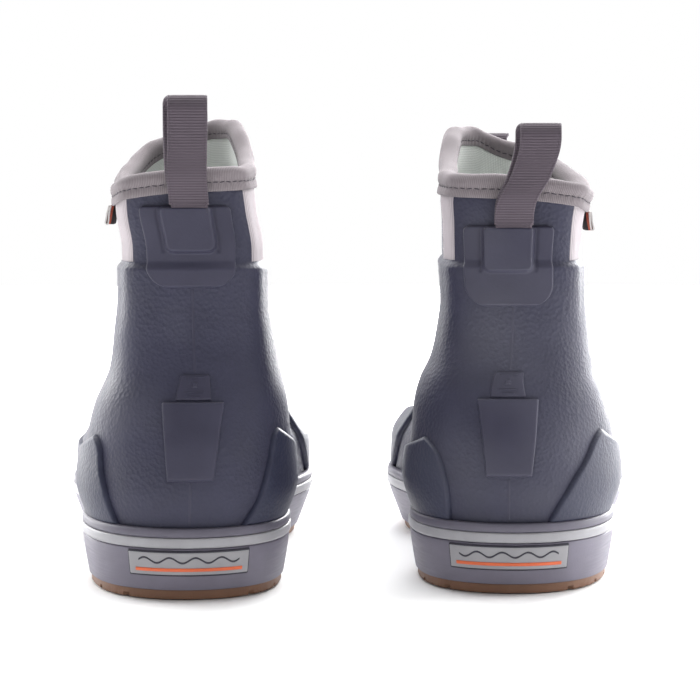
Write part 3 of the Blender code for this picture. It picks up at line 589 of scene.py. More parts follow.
def ribbed_cloth_material(name, colour, pitch, depth):
    """Woven cloth with raised ribs and single threads across them."""
    paint = Paint(name, 0.9, 0.15, 0.3)
    rib = paint.ribs(pitch, True)
    across = paint.ribs(0.00042, False)
    fuzz = paint.noise(2600.0, 2.0)
    body = paint.tone(rib, 0.0, 0.7, colour, 0.62, 1.0)
    body = paint.mix(paint.spread(across, 0.0, 0.6, 0.3, 0.0), body, shade(colour, 0.7))
    body = paint.mix(paint.spread(paint.noise(55.0), 0.35, 0.7, 0.0, 0.25), body,
                     shade(colour, 1.2))
    normal = paint.bumps((rib, depth), (across, depth * 0.35), (fuzz, 0.00006))
    return paint.finish(body, paint.spread(fuzz, 0.3, 0.7, 0.85, 1.0), normal)


def knit_material(name, colour, pitch, depth):
    """Fine knitted lining with a soft nap."""
    paint = Paint(name, 0.95, 0.3, 0.2)
    loops = paint.math("MULTIPLY", paint.ribs(pitch, True), paint.ribs(pitch * 0.8, False))
    nap = paint.noise(1900.0)
    body = paint.tone(loops, 0.0, 0.6, colour, 0.78, 1.05)
    body = paint.mix(paint.spread(paint.noise(30.0), 0.45, 0.75, 0.0, 0.3), body,
                     shade(colour, 0.85))
    return paint.finish(body, paint.spread(nap, 0.3, 0.7, 0.88, 1.0),
                        paint.bumps((loops, depth), (nap, 0.0001)))


def thread_material(name, colour):
    """Twisted sewing thread."""
    paint = Paint(name, 0.7, 0.2, 0.4)
    twist = paint.noise(2200.0, 2.0)
    body = paint.mix(twist, shade(colour, 0.7), shade(colour, 1.35))
    return paint.finish(body, 0.7, paint.bumps((twist, 0.00008)))


def foam_material(name, colour):
    """Cut foam edge with open pores."""
    paint = Paint(name, 0.95, 0.0, 0.2)
    pores = paint.cells(900.0)
    return paint.finish(paint.tone(pores, 0.1, 0.5, colour, 0.6, 1.05), 0.95,
                        paint.bumps((pores, 0.00015)))


def steel_material(name):
    """Rolled spring steel with lengthwise scratches."""
    paint = Paint(name, 0.35)
    paint.shader.inputs["Metallic"].default_value = 1.0
    scratch = paint.streaks("Object", (1800.0, 40.0, 1800.0))
    body = paint.mix(scratch, shade((135, 138, 142)), shade((180, 182, 186)))
    return paint.finish(body, paint.spread(scratch, 0.3, 0.7, 0.25, 0.45),
                        paint.bumps((scratch, 0.00002)))


def flag_material():
    """Woven tag in three blocks of colour, with no lettering."""
    paint = Paint("tag_cloth", 0.8, 0.1, 0.3)
    run = paint.node("ShaderNodeSeparateXYZ", {"Vector": paint.coords.outputs["UV"]}).outputs["Y"]
    dark = paint.math("GREATER_THAN", run, FLAG_DROP * 0.72)
    pale = paint.math("LESS_THAN", run, FLAG_DROP * 0.16)
    weave = paint.ribs(0.00035, True)
    body = paint.mix(dark, shade((214, 92, 58)), shade((34, 32, 38)))
    body = paint.mix(pale, body, shade((225, 222, 220)))
    body = paint.mix(paint.spread(weave, 0.0, 0.5, 0.25, 0.0), body, shade((60, 30, 26)))
    return paint.finish(body, 0.8, paint.bumps((weave, 0.00008)))


def make_materials():
    """Every material by the name that the pieces use."""
    return {
        "rubber": rubber_material("shell_rubber", (54, 54, 72), 0.0001, 0.00022),
        "overlay": rubber_material("overlay_rubber", (49, 51, 70), 0.00008, 0.00014, 0.48),
        "smooth": rubber_material("smooth_rubber", (58, 57, 74), 0.00004, 0.00003, 0.46),
        "band": band_material("foxing_rubber", (112, 108, 122)),
        "top_band": band_material("top_band_rubber", (98, 95, 108)),
        "stripe": band_material("stripe_rubber", (158, 157, 162), 0.45),
        "gum": band_material("gum_rubber", (128, 92, 70), 0.55),
        "label": band_material("label_rubber", (150, 149, 153), 0.42),
        "label_edge": band_material("label_edge_rubber", (48, 46, 58), 0.45),
        "orange": band_material("orange_rubber", (222, 104, 62), 0.45),
        "webbing": ribbed_cloth_material("webbing_cloth", (92, 83, 92), RIB_PITCH, 0.00005),
        "binding": ribbed_cloth_material("binding_tape", (136, 128, 132), 0.00075, 0.00009),
        "gore": ribbed_cloth_material("elastic_cloth", (196, 187, 192), 0.0012, 0.00022),
        "liner": knit_material("lining_knit", (244, 248, 244), 0.0009, 0.00012),
        "footbed": knit_material("footbed_cloth", (84, 88, 98), 0.0011, 0.0001),
        "thread": thread_material("dark_thread", (58, 52, 62)),
        "foam": foam_material("midsole_foam", (70, 74, 84)),
        "board": foam_material("fibre_board", (176, 160, 134)),
        "steel": steel_material("shank_steel"),
        "flag": flag_material(),
    }


MATERIALS = make_materials()


# ---------------------------------------------------------------- sole

GROOVE_DEPTH = 1.6 * MM
GROOVE_HALF_WIDTH = 1.1 * MM
GROOVE_FIRST_Y = 15 * MM
GROOVE_PITCH = 17 * MM
GROOVE_COUNT = 16
SIPE_DEPTH = 0.7 * MM
SIPE_HALF_WIDTH = 0.35 * MM
SIPES_BETWEEN = 3
CUT_SLOPE = 0.15 * MM
WAVE_LENGTH = 14 * MM
WAVE_HEIGHT = 1.6 * MM
OUTSOLE_TOP = 3.5 * MM
OUTSOLE_EDGE = 1.6 * MM
FOOTBED_BOTTOM = 20.8 * MM
FOOTBED_TOP = 26.3 * MM
FOOTBED_INSET = 5 * MM
HEEL_CUP = 4 * MM
HEEL_HOLLOW = 1.5 * MM
ARCH_RISE = 5 * MM
LABEL_HALF_ANGLE = 18.5 * DEG
LABEL_WAVES = 4
BUMPER_HALF_ANGLE = 36 * DEG
BUMPER_RIDGES = 5


def tread_rows(low, high):
    """Places along the sole and how deep the tread is cut there."""
    cuts = []
    for k in range(GROOVE_COUNT):
        middle = GROOVE_FIRST_Y + k * GROOVE_PITCH
        cuts.append((middle, GROOVE_HALF_WIDTH, GROOVE_DEPTH))
        for n in range(1, SIPES_BETWEEN + 1):
            cuts.append((middle + n * GROOVE_PITCH / (SIPES_BETWEEN + 1), SIPE_HALF_WIDTH,
                         SIPE_DEPTH))
    rows = [(low, 0.0), (low + 1.5 * MM, 0.0), (low + 4 * MM, 0.0)]
    for middle, half_width, depth in cuts:
        rows += [(middle - half_width - CUT_SLOPE, 0.0), (middle - half_width, depth),
                 (middle + half_width, depth), (middle + half_width + CUT_SLOPE, 0.0)]
    rows = [row for row in rows if row[0] < high - 3 * MM]
    return rows + [(high - 1.5 * MM, 0.0), (high, 0.0)]


def sole_grid(rows_y, offset, z, across=25):
    """Grid over the sole's outline: rows from heel to toe, columns from side to side."""
    angles = angle_at_length(rows_y, FOXING_TOP)
    medial = sole_point(angles, z, offset)
    lateral = sole_point(-angles, z, offset)
    share = np.sin(np.linspace(-math.pi / 2, math.pi / 2, across)) * 0.5 + 0.5
    return lateral[None] * (1 - share[:, None, None]) + medial[None] * share[:, None, None]


def sole_ends():
    """Places of the heel end and the toe end of the sole's outline."""
    return base_point(0.0, FOXING_TOP)[1], base_point(math.pi, FOXING_TOP)[1]


def add_outsole(boot):
    """Gum sole with wavy grooves and fine sipes, and a rounded edge."""
    low, high = sole_ends()
    y, depth = np.array(tread_rows(low, high)).T
    bottom = sole_grid(y, OUTSOLE_EDGE, depth)
    top = sole_grid(y, OUTSOLE_EDGE, OUTSOLE_TOP)
    span = np.abs(np.linspace(-1, 1, bottom.shape[0]))[:, None]
    share = np.clip((y - low) / (high - low), 0, 1)[None]
    inner = np.clip((1 - span) / 0.25, 0, 1) * np.sin(share * math.pi)
    bottom[..., 1] += WAVE_HEIGHT * np.sin(bottom[..., 0] / WAVE_LENGTH * 2 * math.pi) * inner
    edge = np.clip((span - 0.96) / 0.04, 0, 1) * 0.5 * MM
    bottom[..., 2] = np.maximum(bottom[..., 2], edge)
    add_piece(boot, "outsole", grid_shape(top, bottom), "gum", ["outsole"], smooth=35)


def add_footbed(boot):
    """Footbed with a raised rim at the heel, a raised arch and a cloth face."""
    low, high = sole_ends()
    y = low + (high - low) * (0.5 - 0.5 * np.cos(np.linspace(0, math.pi, 70)))
    top, bottom = [sole_grid(y, -FOOTBED_INSET, z, 33) for z in (FOOTBED_TOP, FOOTBED_BOTTOM)]
    side = np.linspace(-1, 1, top.shape[0])[:, None]
    span = np.abs(side)
    share = ((y - low) / (high - low))[None]
    cup = np.maximum(span, 1 - share * 9) ** 5 * (1 - smooth_step(0.3, 0.6, share))
    arch = np.exp(-((share - 0.42) / 0.13) ** 2) * np.clip(side, 0, 1) ** 2
    hollow = np.exp(-((share - 0.13) / 0.1) ** 2) * (1 - span ** 2)
    top[..., 2] += cup * HEEL_CUP + arch * ARCH_RISE
    top[..., 2] -= hollow * HEEL_HOLLOW
    add_piece(boot, "footbed", grid_shape(top, bottom), "footbed", ["footbed"])


def rounded_profile(corners, radius):
    """Round the corners of a closed profile of (offset, height) points, in millimetres."""
    corners = np.array(corners, float)
    points = []
    for before, corner, after in zip(np.roll(corners, 1, 0), corners, np.roll(corners, -1, 0)):
        sides = np.array((before, after)) - corner
        lengths = np.linalg.norm(sides, axis=1)
        start, end = corner + sides / lengths[:, None] * min(radius, 0.45 * lengths.min())
        for s in np.linspace(0, 1, 4):
            points.append((1 - s) ** 2 * start + 2 * s * (1 - s) * corner + s * s * end)
    return points


def add_foxing(boot):
    """Main rubber band, light stripe and top band, each a closed ring."""
    angles = ring_angles(16, 20, 44)
    bands = (("foxing", ((2.6, 3.8), (3.7, 10), (4.6, 16), (5.15, 20.9), (2.3, 20.9), (2.3, 3.8)),
              "band", 0.9),
             ("foxing_stripe", ((5.35, 21.1), (5.75, 21.9), (5.75, 24.5), (5.35, 25.2), (2.3, 25.2),
                                (2.3, 21.1)), "stripe", 0.6),
             ("foxing_top_band", ((5.35, 25.3), (5.55, 27.0), (5.0, 28.9), (2.0, 29.1),
                                  (2.0, 25.3)), "top_band", 0.9))
    for name, corners, material, radius in bands:
        rings = np.stack([sole_point(angles, z * MM, offset * MM)
                          for offset, z in rounded_profile(corners, radius)], axis=1)
        add_piece(boot, name, ring_shape(rings), material, [name], smooth=50)


def add_label_part(boot, name, material, counts, rims, width, heights, layers, nodes=(), wave=0):
    """One part of the label; width is a share, and heights, layers and wave are in mm."""
    low, high = heights

    def place(u, v):
        z = low + wave * np.sin(u * LABEL_WAVES * 2 * math.pi) + v * (high - low)
        return (2 * u - 1) * LABEL_HALF_ANGLE * width, z * MM

    shape = panel_shape(counts, rims, place, layers[0] * MM, layers[1] * MM, foxing_point)
    add_piece(boot, name, shape, material, nodes)


def add_heel_label(boot):
    """Heel label: dark frame, light face, orange bar and a plain wave instead of lettering."""
    add_label_part(boot, "heel_label_frame", "label_edge", (40, 6), (0.012, 0.06), 1, (9.6, 20.2),
                   (-0.3, 1.1))
    add_label_part(boot, "heel_label", "label", (40, 6), (0.008, 0.05), 0.975, (10.2, 19.6),
                   (0.2, 1.35), ["heel_label"])
    add_label_part(boot, "heel_label_bar", "orange", (36, 4), (0.01, 0.25), 0.86, (11.7, 13.2),
                   (1.0, 1.75), ["heel_label_bar"])
    add_label_part(boot, "heel_label_wave", "label_edge", (110, 3), (0.006, 0.3), 0.8,
                   (15.9, 16.8), (1.0, 1.6), wave=1.1)


def add_toe_bumper(boot):
    """Ribbed rubber strip round the toe end of the sole."""
    def place(u, v):
        return math.pi + (2 * u - 1) * BUMPER_HALF_ANGLE, (6 + v * 14) * MM

    def outer(_u, v):
        ridge = 0.5 - 0.5 * np.cos(v * BUMPER_RIDGES * 2 * math.pi)
        return (1.3 + 0.6 * ridge) * MM

    shape = panel_shape((70, 50), (0.02, 0.08), place, -0.3 * MM, outer, foxing_point)
    add_piece(boot, "toe_bumper", shape, "band", ["toe_bumper"])


def add_sole_core(boot):
    """The hidden layers keep their solid shapes and get their own materials."""
    for name, material in (("midsole", "foam"), ("insole_board", "board"), ("shank", "steel")):
        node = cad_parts[f"{name}_{boot.name}"]
        node.data.materials.clear()
        node.data.materials.append(MATERIALS[material])


# ---------------------------------------------------------------- upper

SHELL_BOTTOM = 17 * MM
# Stretches of the heel seam that no plate covers, in millimetres.
SEAM_RUNS = ((30, 47.4), (90.5, 124.4))
GORE_BOTTOM = LEDGE_Z + LEDGE_HALF_RISE
GORE_FOOT = LEDGE_Z - 0.6 * MM
LINER_BOTTOM = 20.8 * MM
# An overlay's inner and outer distance from the base surface.
OVERLAY_LAYERS = (LEDGE_STEP - 0.4 * MM, LEDGE_STEP + 2.1 * MM)
OVERLAY_GAP = 0.1 * MM
OVERLAY_FRONT_TOP = 50 * MM
# Places along the boot at the bottom and at the top of the front edge or the rear edge.
OVERLAY_FRONT_Y = (104 * MM, 92 * MM)
GUARD_REAR_Y = (186 * MM, 154 * MM)
GUARD_TOE_TOP = 46 * MM
# Top of the guard's rear tip on the inner and on the outer side.
GUARD_TIP_TOPS = (60 * MM, 44 * MM)
STITCH_PITCH = 3.0 * MM
STITCH_LENGTH = 2.2 * MM
STITCH_RADIUS = 0.24 * MM
STITCH_SLANT = 0.22 * MM
PUCKER_DEPTH = 0.14 * MM
# Columns behind, along and in front of each gore.
COLLAR_COLUMNS = (56, 84, 150)
# A patch's height, its half width and the height of its pad.
REAR_PATCH_SIZE = (33 * MM, 18.5 * MM, 18.7 * MM)
FRONT_PATCH_SIZE = (27 * MM, 13 * MM, 16 * MM)


def shaft_grid(boot, angles, levels, shaft_rows):
    """Angles and heights of a grid: the fixed levels first, then rows up to the top line."""
    top = collar_height(boot, angles) - COLLAR_TUCK
    share = np.linspace(0, 1, shaft_rows + 1)[1:]
    shaft = levels[-1] + share[None] * (top[:, None] - levels[-1])
    z = np.concatenate((np.broadcast_to(levels, (angles.size, levels.size)), shaft), axis=1)
    return np.broadcast_to(angles[:, None], z.shape), z


def add_shell(boot):
    """Moulded rubber upper with a rounded ledge and a cut-out for each gore."""
    angles = ring_angles(14, 22, 44)
    ledge_start = LEDGE_Z - 4 * MM
    levels = np.concatenate((np.linspace(SHELL_BOTTOM, ledge_start, 46)[:-1],
                             np.linspace(ledge_start, GORE_BOTTOM, 10)))
    angle, z = shaft_grid(boot, angles, levels, 14)

    def keep(i, j):
        middle = abs(angles[i] + angles[(i + 1) % angles.size]) / 2
        return j < levels.size - 1 or not GORE_REAR < middle < GORE_FRONT

    shape = grid_shape(upper_point(angle, z, wall_offset(z)),
                       upper_point(angle, z, SHELL_INNER), keep, closed=True)
    add_piece(boot, "upper_shell", shape, "rubber", ["upper_shell"], smooth=50)


def add_heel_seam(boot):
    """Faint line down the heel where the halves of the mould met."""
    parts = []
    for low, high in SEAM_RUNS:
        def place(u, v, low=low, high=high):
            z = (low + v * (high - low)) * MM
            return angle_at_side((2 * u - 1) * 0.5 * MM, z), z
        parts.append(panel_shape((3, 24), (0.4, 0.03), place, LEDGE_STEP - 0.15 * MM,
                                 LEDGE_STEP + 0.16 * MM))
    add_piece(boot, "heel_seam", merge_shapes(parts), "smooth")


def add_liner(boot):
    """Cloth lining from the footbed to the collar."""
    angles = ring_angles(12, 20, 36)
    angle, z = shaft_grid(boot, angles, np.linspace(LINER_BOTTOM, LEDGE_Z, 36), 12)
    inset = 0.6 * MM * (1 - smooth_step(105 * MM, LEDGE_Z, z))
    shape = grid_shape(upper_point(angle, z, LINER_OUTER - inset),
                       upper_point(angle, z, LINER_INNER - inset), closed=True)
    add_piece(boot, "liner", shape, "liner", ["liner"])


def add_gores(boot):
    """Elastic panel in each side of the shaft, from the ledge to the collar."""
    for name, side in (("gore_medial", 1), ("gore_lateral", -1)):
        low, high = sorted((side * GORE_REAR, side * GORE_FRONT))

        def place(u, v, low=low, high=high):
            angle = low + u * (high - low)
            top = collar_height(boot, angle) - COLLAR_TUCK
            return angle, GORE_FOOT + v * (top - GORE_FOOT)

        def outer(u, _v):
            return (-0.75 + 0.55 * np.sin(math.pi * u) ** 0.5) * MM

        shape = panel_shape((60, 26), (0.02, 0.02), place, -1.5 * MM, outer)
        add_piece(boot, name, shape, "gore", [name])


def binding_profile():
    """Folded tape in section: (distance outside, height from the top line) in millimetres."""
    return ((0.5, -9.3), (1.15, -9.3), (1.45, -9.0), (1.5, -8.0), (1.45, -7.0), (1.15, -6.1),
            (0.95, -5.6), (1.15, -5.1), (1.65, -4.2), (1.9, -3.0), (1.75, -1.7), (1.1, -0.6),
            (0.0, 0.15), (-1.7, 0.4), (-3.5, 0.1), (-4.7, -0.8), (-5.35, -2.0), (-5.45, -3.4),
            (-5.2, -4.8), (-4.9, -5.6), (-5.15, -6.4), (-5.1, -7.6), (-4.75, -8.0),
            (-4.2, -8.0), (-4.2, -1.6), (0.5, -1.6))


def collar_ring(boot, angles, offset, rise, pucker=0.0):
    """Points along the collar at a distance outside and a height from the top line."""
    wander = 0.22 * MM * np.sin(7 * angles + 0.6) + 0.12 * MM * np.sin(17 * angles + boot.side)
    height = collar_height(boot, angles) + rise * MM + wander * smooth_step(-8, 0, rise)
    return upper_point(angles, height, offset * MM + pucker)


def add_binding(boot):
    """Tape folded over the top edge, drawn in a little by each stitch."""
    angles = ring_angles(*COLLAR_COLUMNS)
    run = path_lengths(collar_ring(boot, angles, 0.0, 0.0))
    rings = []
    for offset, rise in binding_profile():
        outside = 1.0 if offset > 0.9 else -1.0 if offset < -4.6 else 0.0
        near = math.exp(-((rise + STITCH_DROP / MM) / 1.6) ** 2)
        pucker = outside * near * PUCKER_DEPTH * np.cos(run / STITCH_PITCH * 2 * math.pi)
        rings.append(collar_ring(boot, angles, offset, rise, pucker))
    add_piece(boot, "collar_binding", ring_shape(np.stack(rings, axis=1)), "binding",
              ["collar_binding"], smooth=70)


def capsule_shape(start, end):
    """A stitch: a short round-ended rod between two points."""
    sides = 7
    axis = (end - start) / np.linalg.norm(end - start)
    first = np.cross(axis, (0.0, 0.0, 1.0))
    first /= np.linalg.norm(first)
    turn = np.arange(sides) * 2 * math.pi / sides
    circle = np.outer(np.cos(turn), first) + np.outer(np.sin(turn), np.cross(axis, first))
    rings = [(0.0, 0.35), (0.14, 0.85), (0.35, 1.0), (0.65, 1.0), (0.86, 0.85), (1.0, 0.35)]
    points = np.concatenate([start + (end - start) * share + circle * STITCH_RADIUS * wide
                             for share, wide in rings])
    faces = [list(range(sides)), list(range((len(rings) - 1) * sides, len(rings) * sides))[::-1]]
    for i in range(len(rings) - 1):
        for k in range(sides):
            low, after = i * sides + k, i * sides + (k + 1) % sides
            faces.append([after, low, low + sides, after + sides])
    return points, faces, [[(0.0, 0.0)] * len(face) for face in faces]


def add_stitches(boot):
    """A row of stitches through the binding, outside and inside."""
    angles = ring_angles(*COLLAR_COLUMNS)
    for name, offset in (("outer", 1.12), ("inner", -5.08)):
        line = collar_ring(boot, angles, offset, -STITCH_DROP / MM)
        closed = np.concatenate((line, line[:1]))
        run = path_lengths(closed)
        shapes = []
        for k, start in enumerate(np.arange(0.0, run[-1] - STITCH_PITCH * 0.6, STITCH_PITCH)):
            slant = STITCH_SLANT * math.sin(2.3 * k)
            ends = [np.array([np.interp(place, run, closed[:, n]) for n in range(3)])
                    for place in (start, start + STITCH_LENGTH)]
            ends[0][2] += slant
            ends[1][2] -= slant
            shapes.append(capsule_shape(*ends))
        add_piece(boot, f"binding_stitches_{name}", merge_shapes(shapes), "thread")


def add_overlays(boot):
    """Heel-side overlays that run forward along the foxing."""
    bottom = FOXING_TOP + OVERLAY_GAP
    for name, edge, side in (("quarter_overlay_medial", boot.medial_edge, 1),
                             ("quarter_overlay_lateral", boot.lateral_edge, -1)):
        def place(u, v, edge=edge, side=side):
            if side < 0:
                u = 1 - u
            rear_top = edge[-1][0] * MM
            top = rear_top + u * (OVERLAY_FRONT_TOP - rear_top)
            z = bottom + v * (top - bottom)
            edge_x = read_line(edge, z.ravel() / MM).reshape(z.shape) * MM
            front_y = OVERLAY_FRONT_Y[0] + v * (OVERLAY_FRONT_Y[1] - OVERLAY_FRONT_Y[0])
            front_y = front_y - corner_inset(top - z, 9 * MM)
            rear = np.abs(angle_at_side(side * edge_x, z))
            rear = rear + corner_inset(top - z, 6 * MM) / HEEL_ARC
            front = angle_at_length(front_y, z)
            return side * (rear + u * (front - rear)), z

        shape = panel_shape((64, 34), (0.018, 0.045), place, *OVERLAY_LAYERS)
        add_piece(boot, name, shape, "overlay", [name], smooth=45)


def add_toe_guard(boot):
    """Rubber guard round the forefoot, highest at its rear tip on the inner side."""
    bottom = FOXING_TOP + OVERLAY_GAP

    def place(u, v):
        tip_top = np.where(u < 0.5, *GUARD_TIP_TOPS)
        top = GUARD_TOE_TOP + (tip_top - GUARD_TOE_TOP) * (2 * u - 1) ** 2
        z = bottom + v * (top - bottom)
        rear_y = GUARD_REAR_Y[0] + v * (GUARD_REAR_Y[1] - GUARD_REAR_Y[0])
        rear = angle_at_length(rear_y + corner_inset(top - z, 8 * MM), z)
        return math.pi + (2 * u - 1) * (math.pi - rear), z

    shape = panel_shape((150, 26), (0.008, 0.07), place, *OVERLAY_LAYERS)
    add_piece(boot, "toe_guard", shape, "overlay", ["toe_guard"], smooth=45)


def heel_place(low, high, low_half, high_half, radius=0.0):
    """Places on a plate in the middle of the heel, between two heights in millimetres."""
    def place(u, v):
        z = (low + v * (high - low)) * MM
        half = (low_half + v * (high_half - low_half)) * MM
        half = half - corner_inset(high * MM - z, radius)
        return angle_at_side((2 * u - 1) * half, z), z
    return place


def add_heel_plates(boot):
    """Kick plate, and above it the size tab with a plain raised mark instead of a number."""
    def plate(counts, rims, place, inner, outer):
        return panel_shape(counts, rims, heel_place(*place), LEDGE_STEP + inner * MM,
                           LEDGE_STEP + outer * MM)

    kick_plate = plate((26, 30), (0.05, 0.035), (48, 78.6, 8.75, 12, 0.8 * MM), -0.3, 1.9)
    tab = plate((20, 20), (0.05, 0.07), (79.2, 89.6, 7.0, 5.6, 1.2 * MM), -0.3, 0.9)
    marks = [plate((8, 3), (0.04, 0.3), (low, low + 0.4, half, half), 0.5, 1.25)
             for low, half in ((81.9, 3.7), (87.9, 3.7), (80.3, 2.6))]
    marks.append(plate((8, 8), (0.25, 0.25), (83.9, 86.3, 1.2, 1.2, 1.0 * MM), 0.5, 1.3))
    add_piece(boot, "kick_plate", kick_plate, "smooth", ["kick_plate"], smooth=35)
    add_piece(boot, "size_tab", tab, "smooth", ["size_tab"], smooth=35)
    add_piece(boot, "size_tab_marks", merge_shapes(marks), "smooth", smooth=35)


def add_patch(boot, name, top, height, half_width, pad_height, front):
    """Moulded patch with a raised pad over the webbing's end; it steps at the ledge."""
    bottom = top - height
    centre = 0.0 if front else boot.patch_centre

    def place(u, v):
        z = bottom + v * height
        half = half_width * (0.93 + 0.07 * v)
        half = half - corner_inset(z - bottom, 9 * MM) - corner_inset(top - z, 2.5 * MM)
        shift = (2 * u - 1) * half
        return angle_at_side(centre - shift if front else centre + shift, z, front), z

    def inner(z):
        return wall_offset(z) - 0.3 * MM

    def outer(u, v):
        z = bottom + v * height
        across = np.abs(2 * u - 1) * half_width
        step = 1 - smooth_step(LEDGE_Z - 1.6 * MM, LEDGE_Z + 2.4 * MM, z)
        ground = (2.0 + 1.5 * step) * MM
        beyond_side = np.clip(across - PAD_HALF_WIDTH + PAD_CORNER, 0, None)
        beyond_foot = np.clip(top - pad_height + PAD_CORNER - z, 0, None)
        outside = np.hypot(beyond_side, beyond_foot) - PAD_CORNER
        pad = 1 - smooth_step(-1.0 * MM, 0.8 * MM, outside)
        above = smooth_step(top - pad_height - 0.7 * MM, top - pad_height + 1.1 * MM, z)
        groove = np.exp(-((across - PAD_HALF_WIDTH - 1.4 * MM) / (0.7 * MM)) ** 2)
        return ground + pad * (PAD_RISE - ground) - groove * above * 0.5 * MM

    shape = panel_shape((84, 76), (0.025, 0.03), place, inner, outer)
    add_piece(boot, name, shape, "smooth", [name])


# ---------------------------------------------------------------- webbing

TWIST = -2.0 * MM
S_CURVE = 1.3
LOOP_SAG = 0.25 * MM
ROOT_WIDTH = 0.92
SAMPLES_PER_RIB = 6


def arc(centre_up, radius, turn):
    """Points (out, up) on an arc about a centre above the base."""
    return np.column_stack((radius * np.cos(turn), centre_up + radius * np.sin(turn)))


def loop_path(height, bulge):
    """Middle line of the webbing seen from the side: points (out, up)."""
    top_centre = height - LOOP_TOP_RADIUS - WEBBING_HALF_THICKNESS
    tilt = math.asin((LOOP_TOP_RADIUS - LOOP_BASE_RADIUS) / top_centre)
    low = arc(0.0, LOOP_BASE_RADIUS, np.linspace(math.pi + tilt, 2 * math.pi - tilt, 60))
    high = arc(top_centre, LOOP_TOP_RADIUS, np.linspace(-tilt, math.pi + tilt, 120))
    share = np.linspace(0, 1, 80)[1:-1, None]
    rising = low[-1] + share * (high[0] - low[-1])
    falling = high[-1] + share * (low[0] - high[-1])
    path = np.concatenate((low, rising, high, falling))
    path[:, 0] += bulge * smooth_step(0, LOOP_BULGE_HEIGHT, path[:, 1])
    return path


def even_path(path, count):
    """A closed line read at evenly spaced places, with its outward normals."""
    closed = np.concatenate((path, path[:1]))
    run = path_lengths(closed)
    place = np.arange(count) * run[-1] / count
    even = np.column_stack([np.interp(place, run, closed[:, k]) for k in range(2)])
    ahead = np.roll(even, -1, axis=0) - np.roll(even, 1, axis=0)
    ahead /= np.linalg.norm(ahead, axis=1, keepdims=True)
    return even, np.column_stack((ahead[:, 1], -ahead[:, 0]))


def webbing_section():
    """Places across the webbing: (share of the width, thickness, share of the ribs)."""
    half = [(1.0, 0.35, 0.0), (0.985, 0.8, 0.2), (0.93, 1.05, 0.3), (0.885, 0.92, 0.3),
            (0.865, 0.8, 0.5), (0.84, 0.95, 1.0), (0.7, 1.0, 1.0), (0.35, 1.0, 1.0)]
    return [(-share, thick, rib) for share, thick, rib in half] + [(0.0, 1.0, 1.0)] + half[::-1]


def add_loop(boot, name, base, outwards, height, lean, bulge):
    """Webbing loop standing on its base, leaning in an S and a little twisted."""
    rough_path = loop_path(height, bulge)
    count = round(path_lengths(rough_path, True)[-1] / RIB_PITCH) * SAMPLES_PER_RIB
    path, normals = even_path(rough_path, count)
    wave = 0.5 + 0.5 * np.cos(np.arange(count) * 2 * math.pi / SAMPLES_PER_RIB)

    def line(side, place):
        share, thick, rib = place
        across = share * WEBBING_WIDTH / 2
        reach = WEBBING_HALF_THICKNESS * thick - RIB_DEPTH * rib * (1 - wave)
        out, up = (path + normals * (side * reach)[:, None]).T
        risen = smooth_step(0, LOOP_BULGE_HEIGHT, up)
        depth = smooth_step(0, LOOP_TOP_RADIUS, bulge * risen - out)
        x = (base[0] + across + boot.side * TWIST * depth * risen
             + math.tan(lean) * height * S_CURVE * smooth_step(2 * MM, 0.85 * height, up))
        sag = LOOP_SAG * share ** 2 * smooth_step(6 * MM, 20 * MM, up)
        return np.column_stack((x, base[1] + outwards * (out - sag), base[2] + up))

    shape = two_sided_shape(webbing_section(), line, closed=True)
    add_piece(boot, name, turned_over(shape) if outwards < 0 else shape, "webbing", [name],
              body=f"{name}_{boot.name}", smooth=80)


def add_loop_root(boot, name, base, outwards):
    """The webbing's doubled end, from the moulded pad up to the loop."""
    up = np.linspace(-4.5 * MM, 0.15 * MM, 40)
    half = LOOP_BASE_RADIUS + WEBBING_HALF_THICKNESS - 0.06 * MM
    reach = half - RIB_DEPTH * (0.5 - 0.5 * np.cos(up / RIB_PITCH * 2 * math.pi))

    def line(side, place):
        share, thick, _rib = place
        out = side * (reach - (1 - min(thick, 1.0)) * WEBBING_HALF_THICKNESS)
        x = np.full(up.size, base[0] + share * WEBBING_WIDTH / 2 * ROOT_WIDTH)
        return np.column_stack((x, base[1] + outwards * out, base[2] + up))

    shape = two_sided_shape(webbing_section(), line)
    add_piece(boot, f"{name}_root", turned_over(shape) if outwards < 0 else shape, "webbing")


def add_pull_loops(boot):
    """Rear and front pull loops with their roots in the patches."""
    rear_x = boot.patch_centre + boot.side * LOOP_OFF_CENTRE
    for name, outwards, x, raised, shorter, lean, bulge in (
            ("rear_pull_loop", -1, rear_x, 0.0, 0.0, boot.side * boot.loop_lean, REAR_BULGE),
            ("front_pull_loop", 1, 0.0, FRONT_PATCH_RAISE, FRONT_LOOP_SHORTER, 0.0, FRONT_BULGE)):
        z = boot.patch_top + raised + LOOP_LIFT
        base = upper_point(angle_at_side(x, z, outwards > 0), z, LOOP_BASE_OUT)
        add_loop(boot, name, base, outwards, boot.loop_height - shorter, lean, bulge)
        add_loop_root(boot, name, base, outwards)


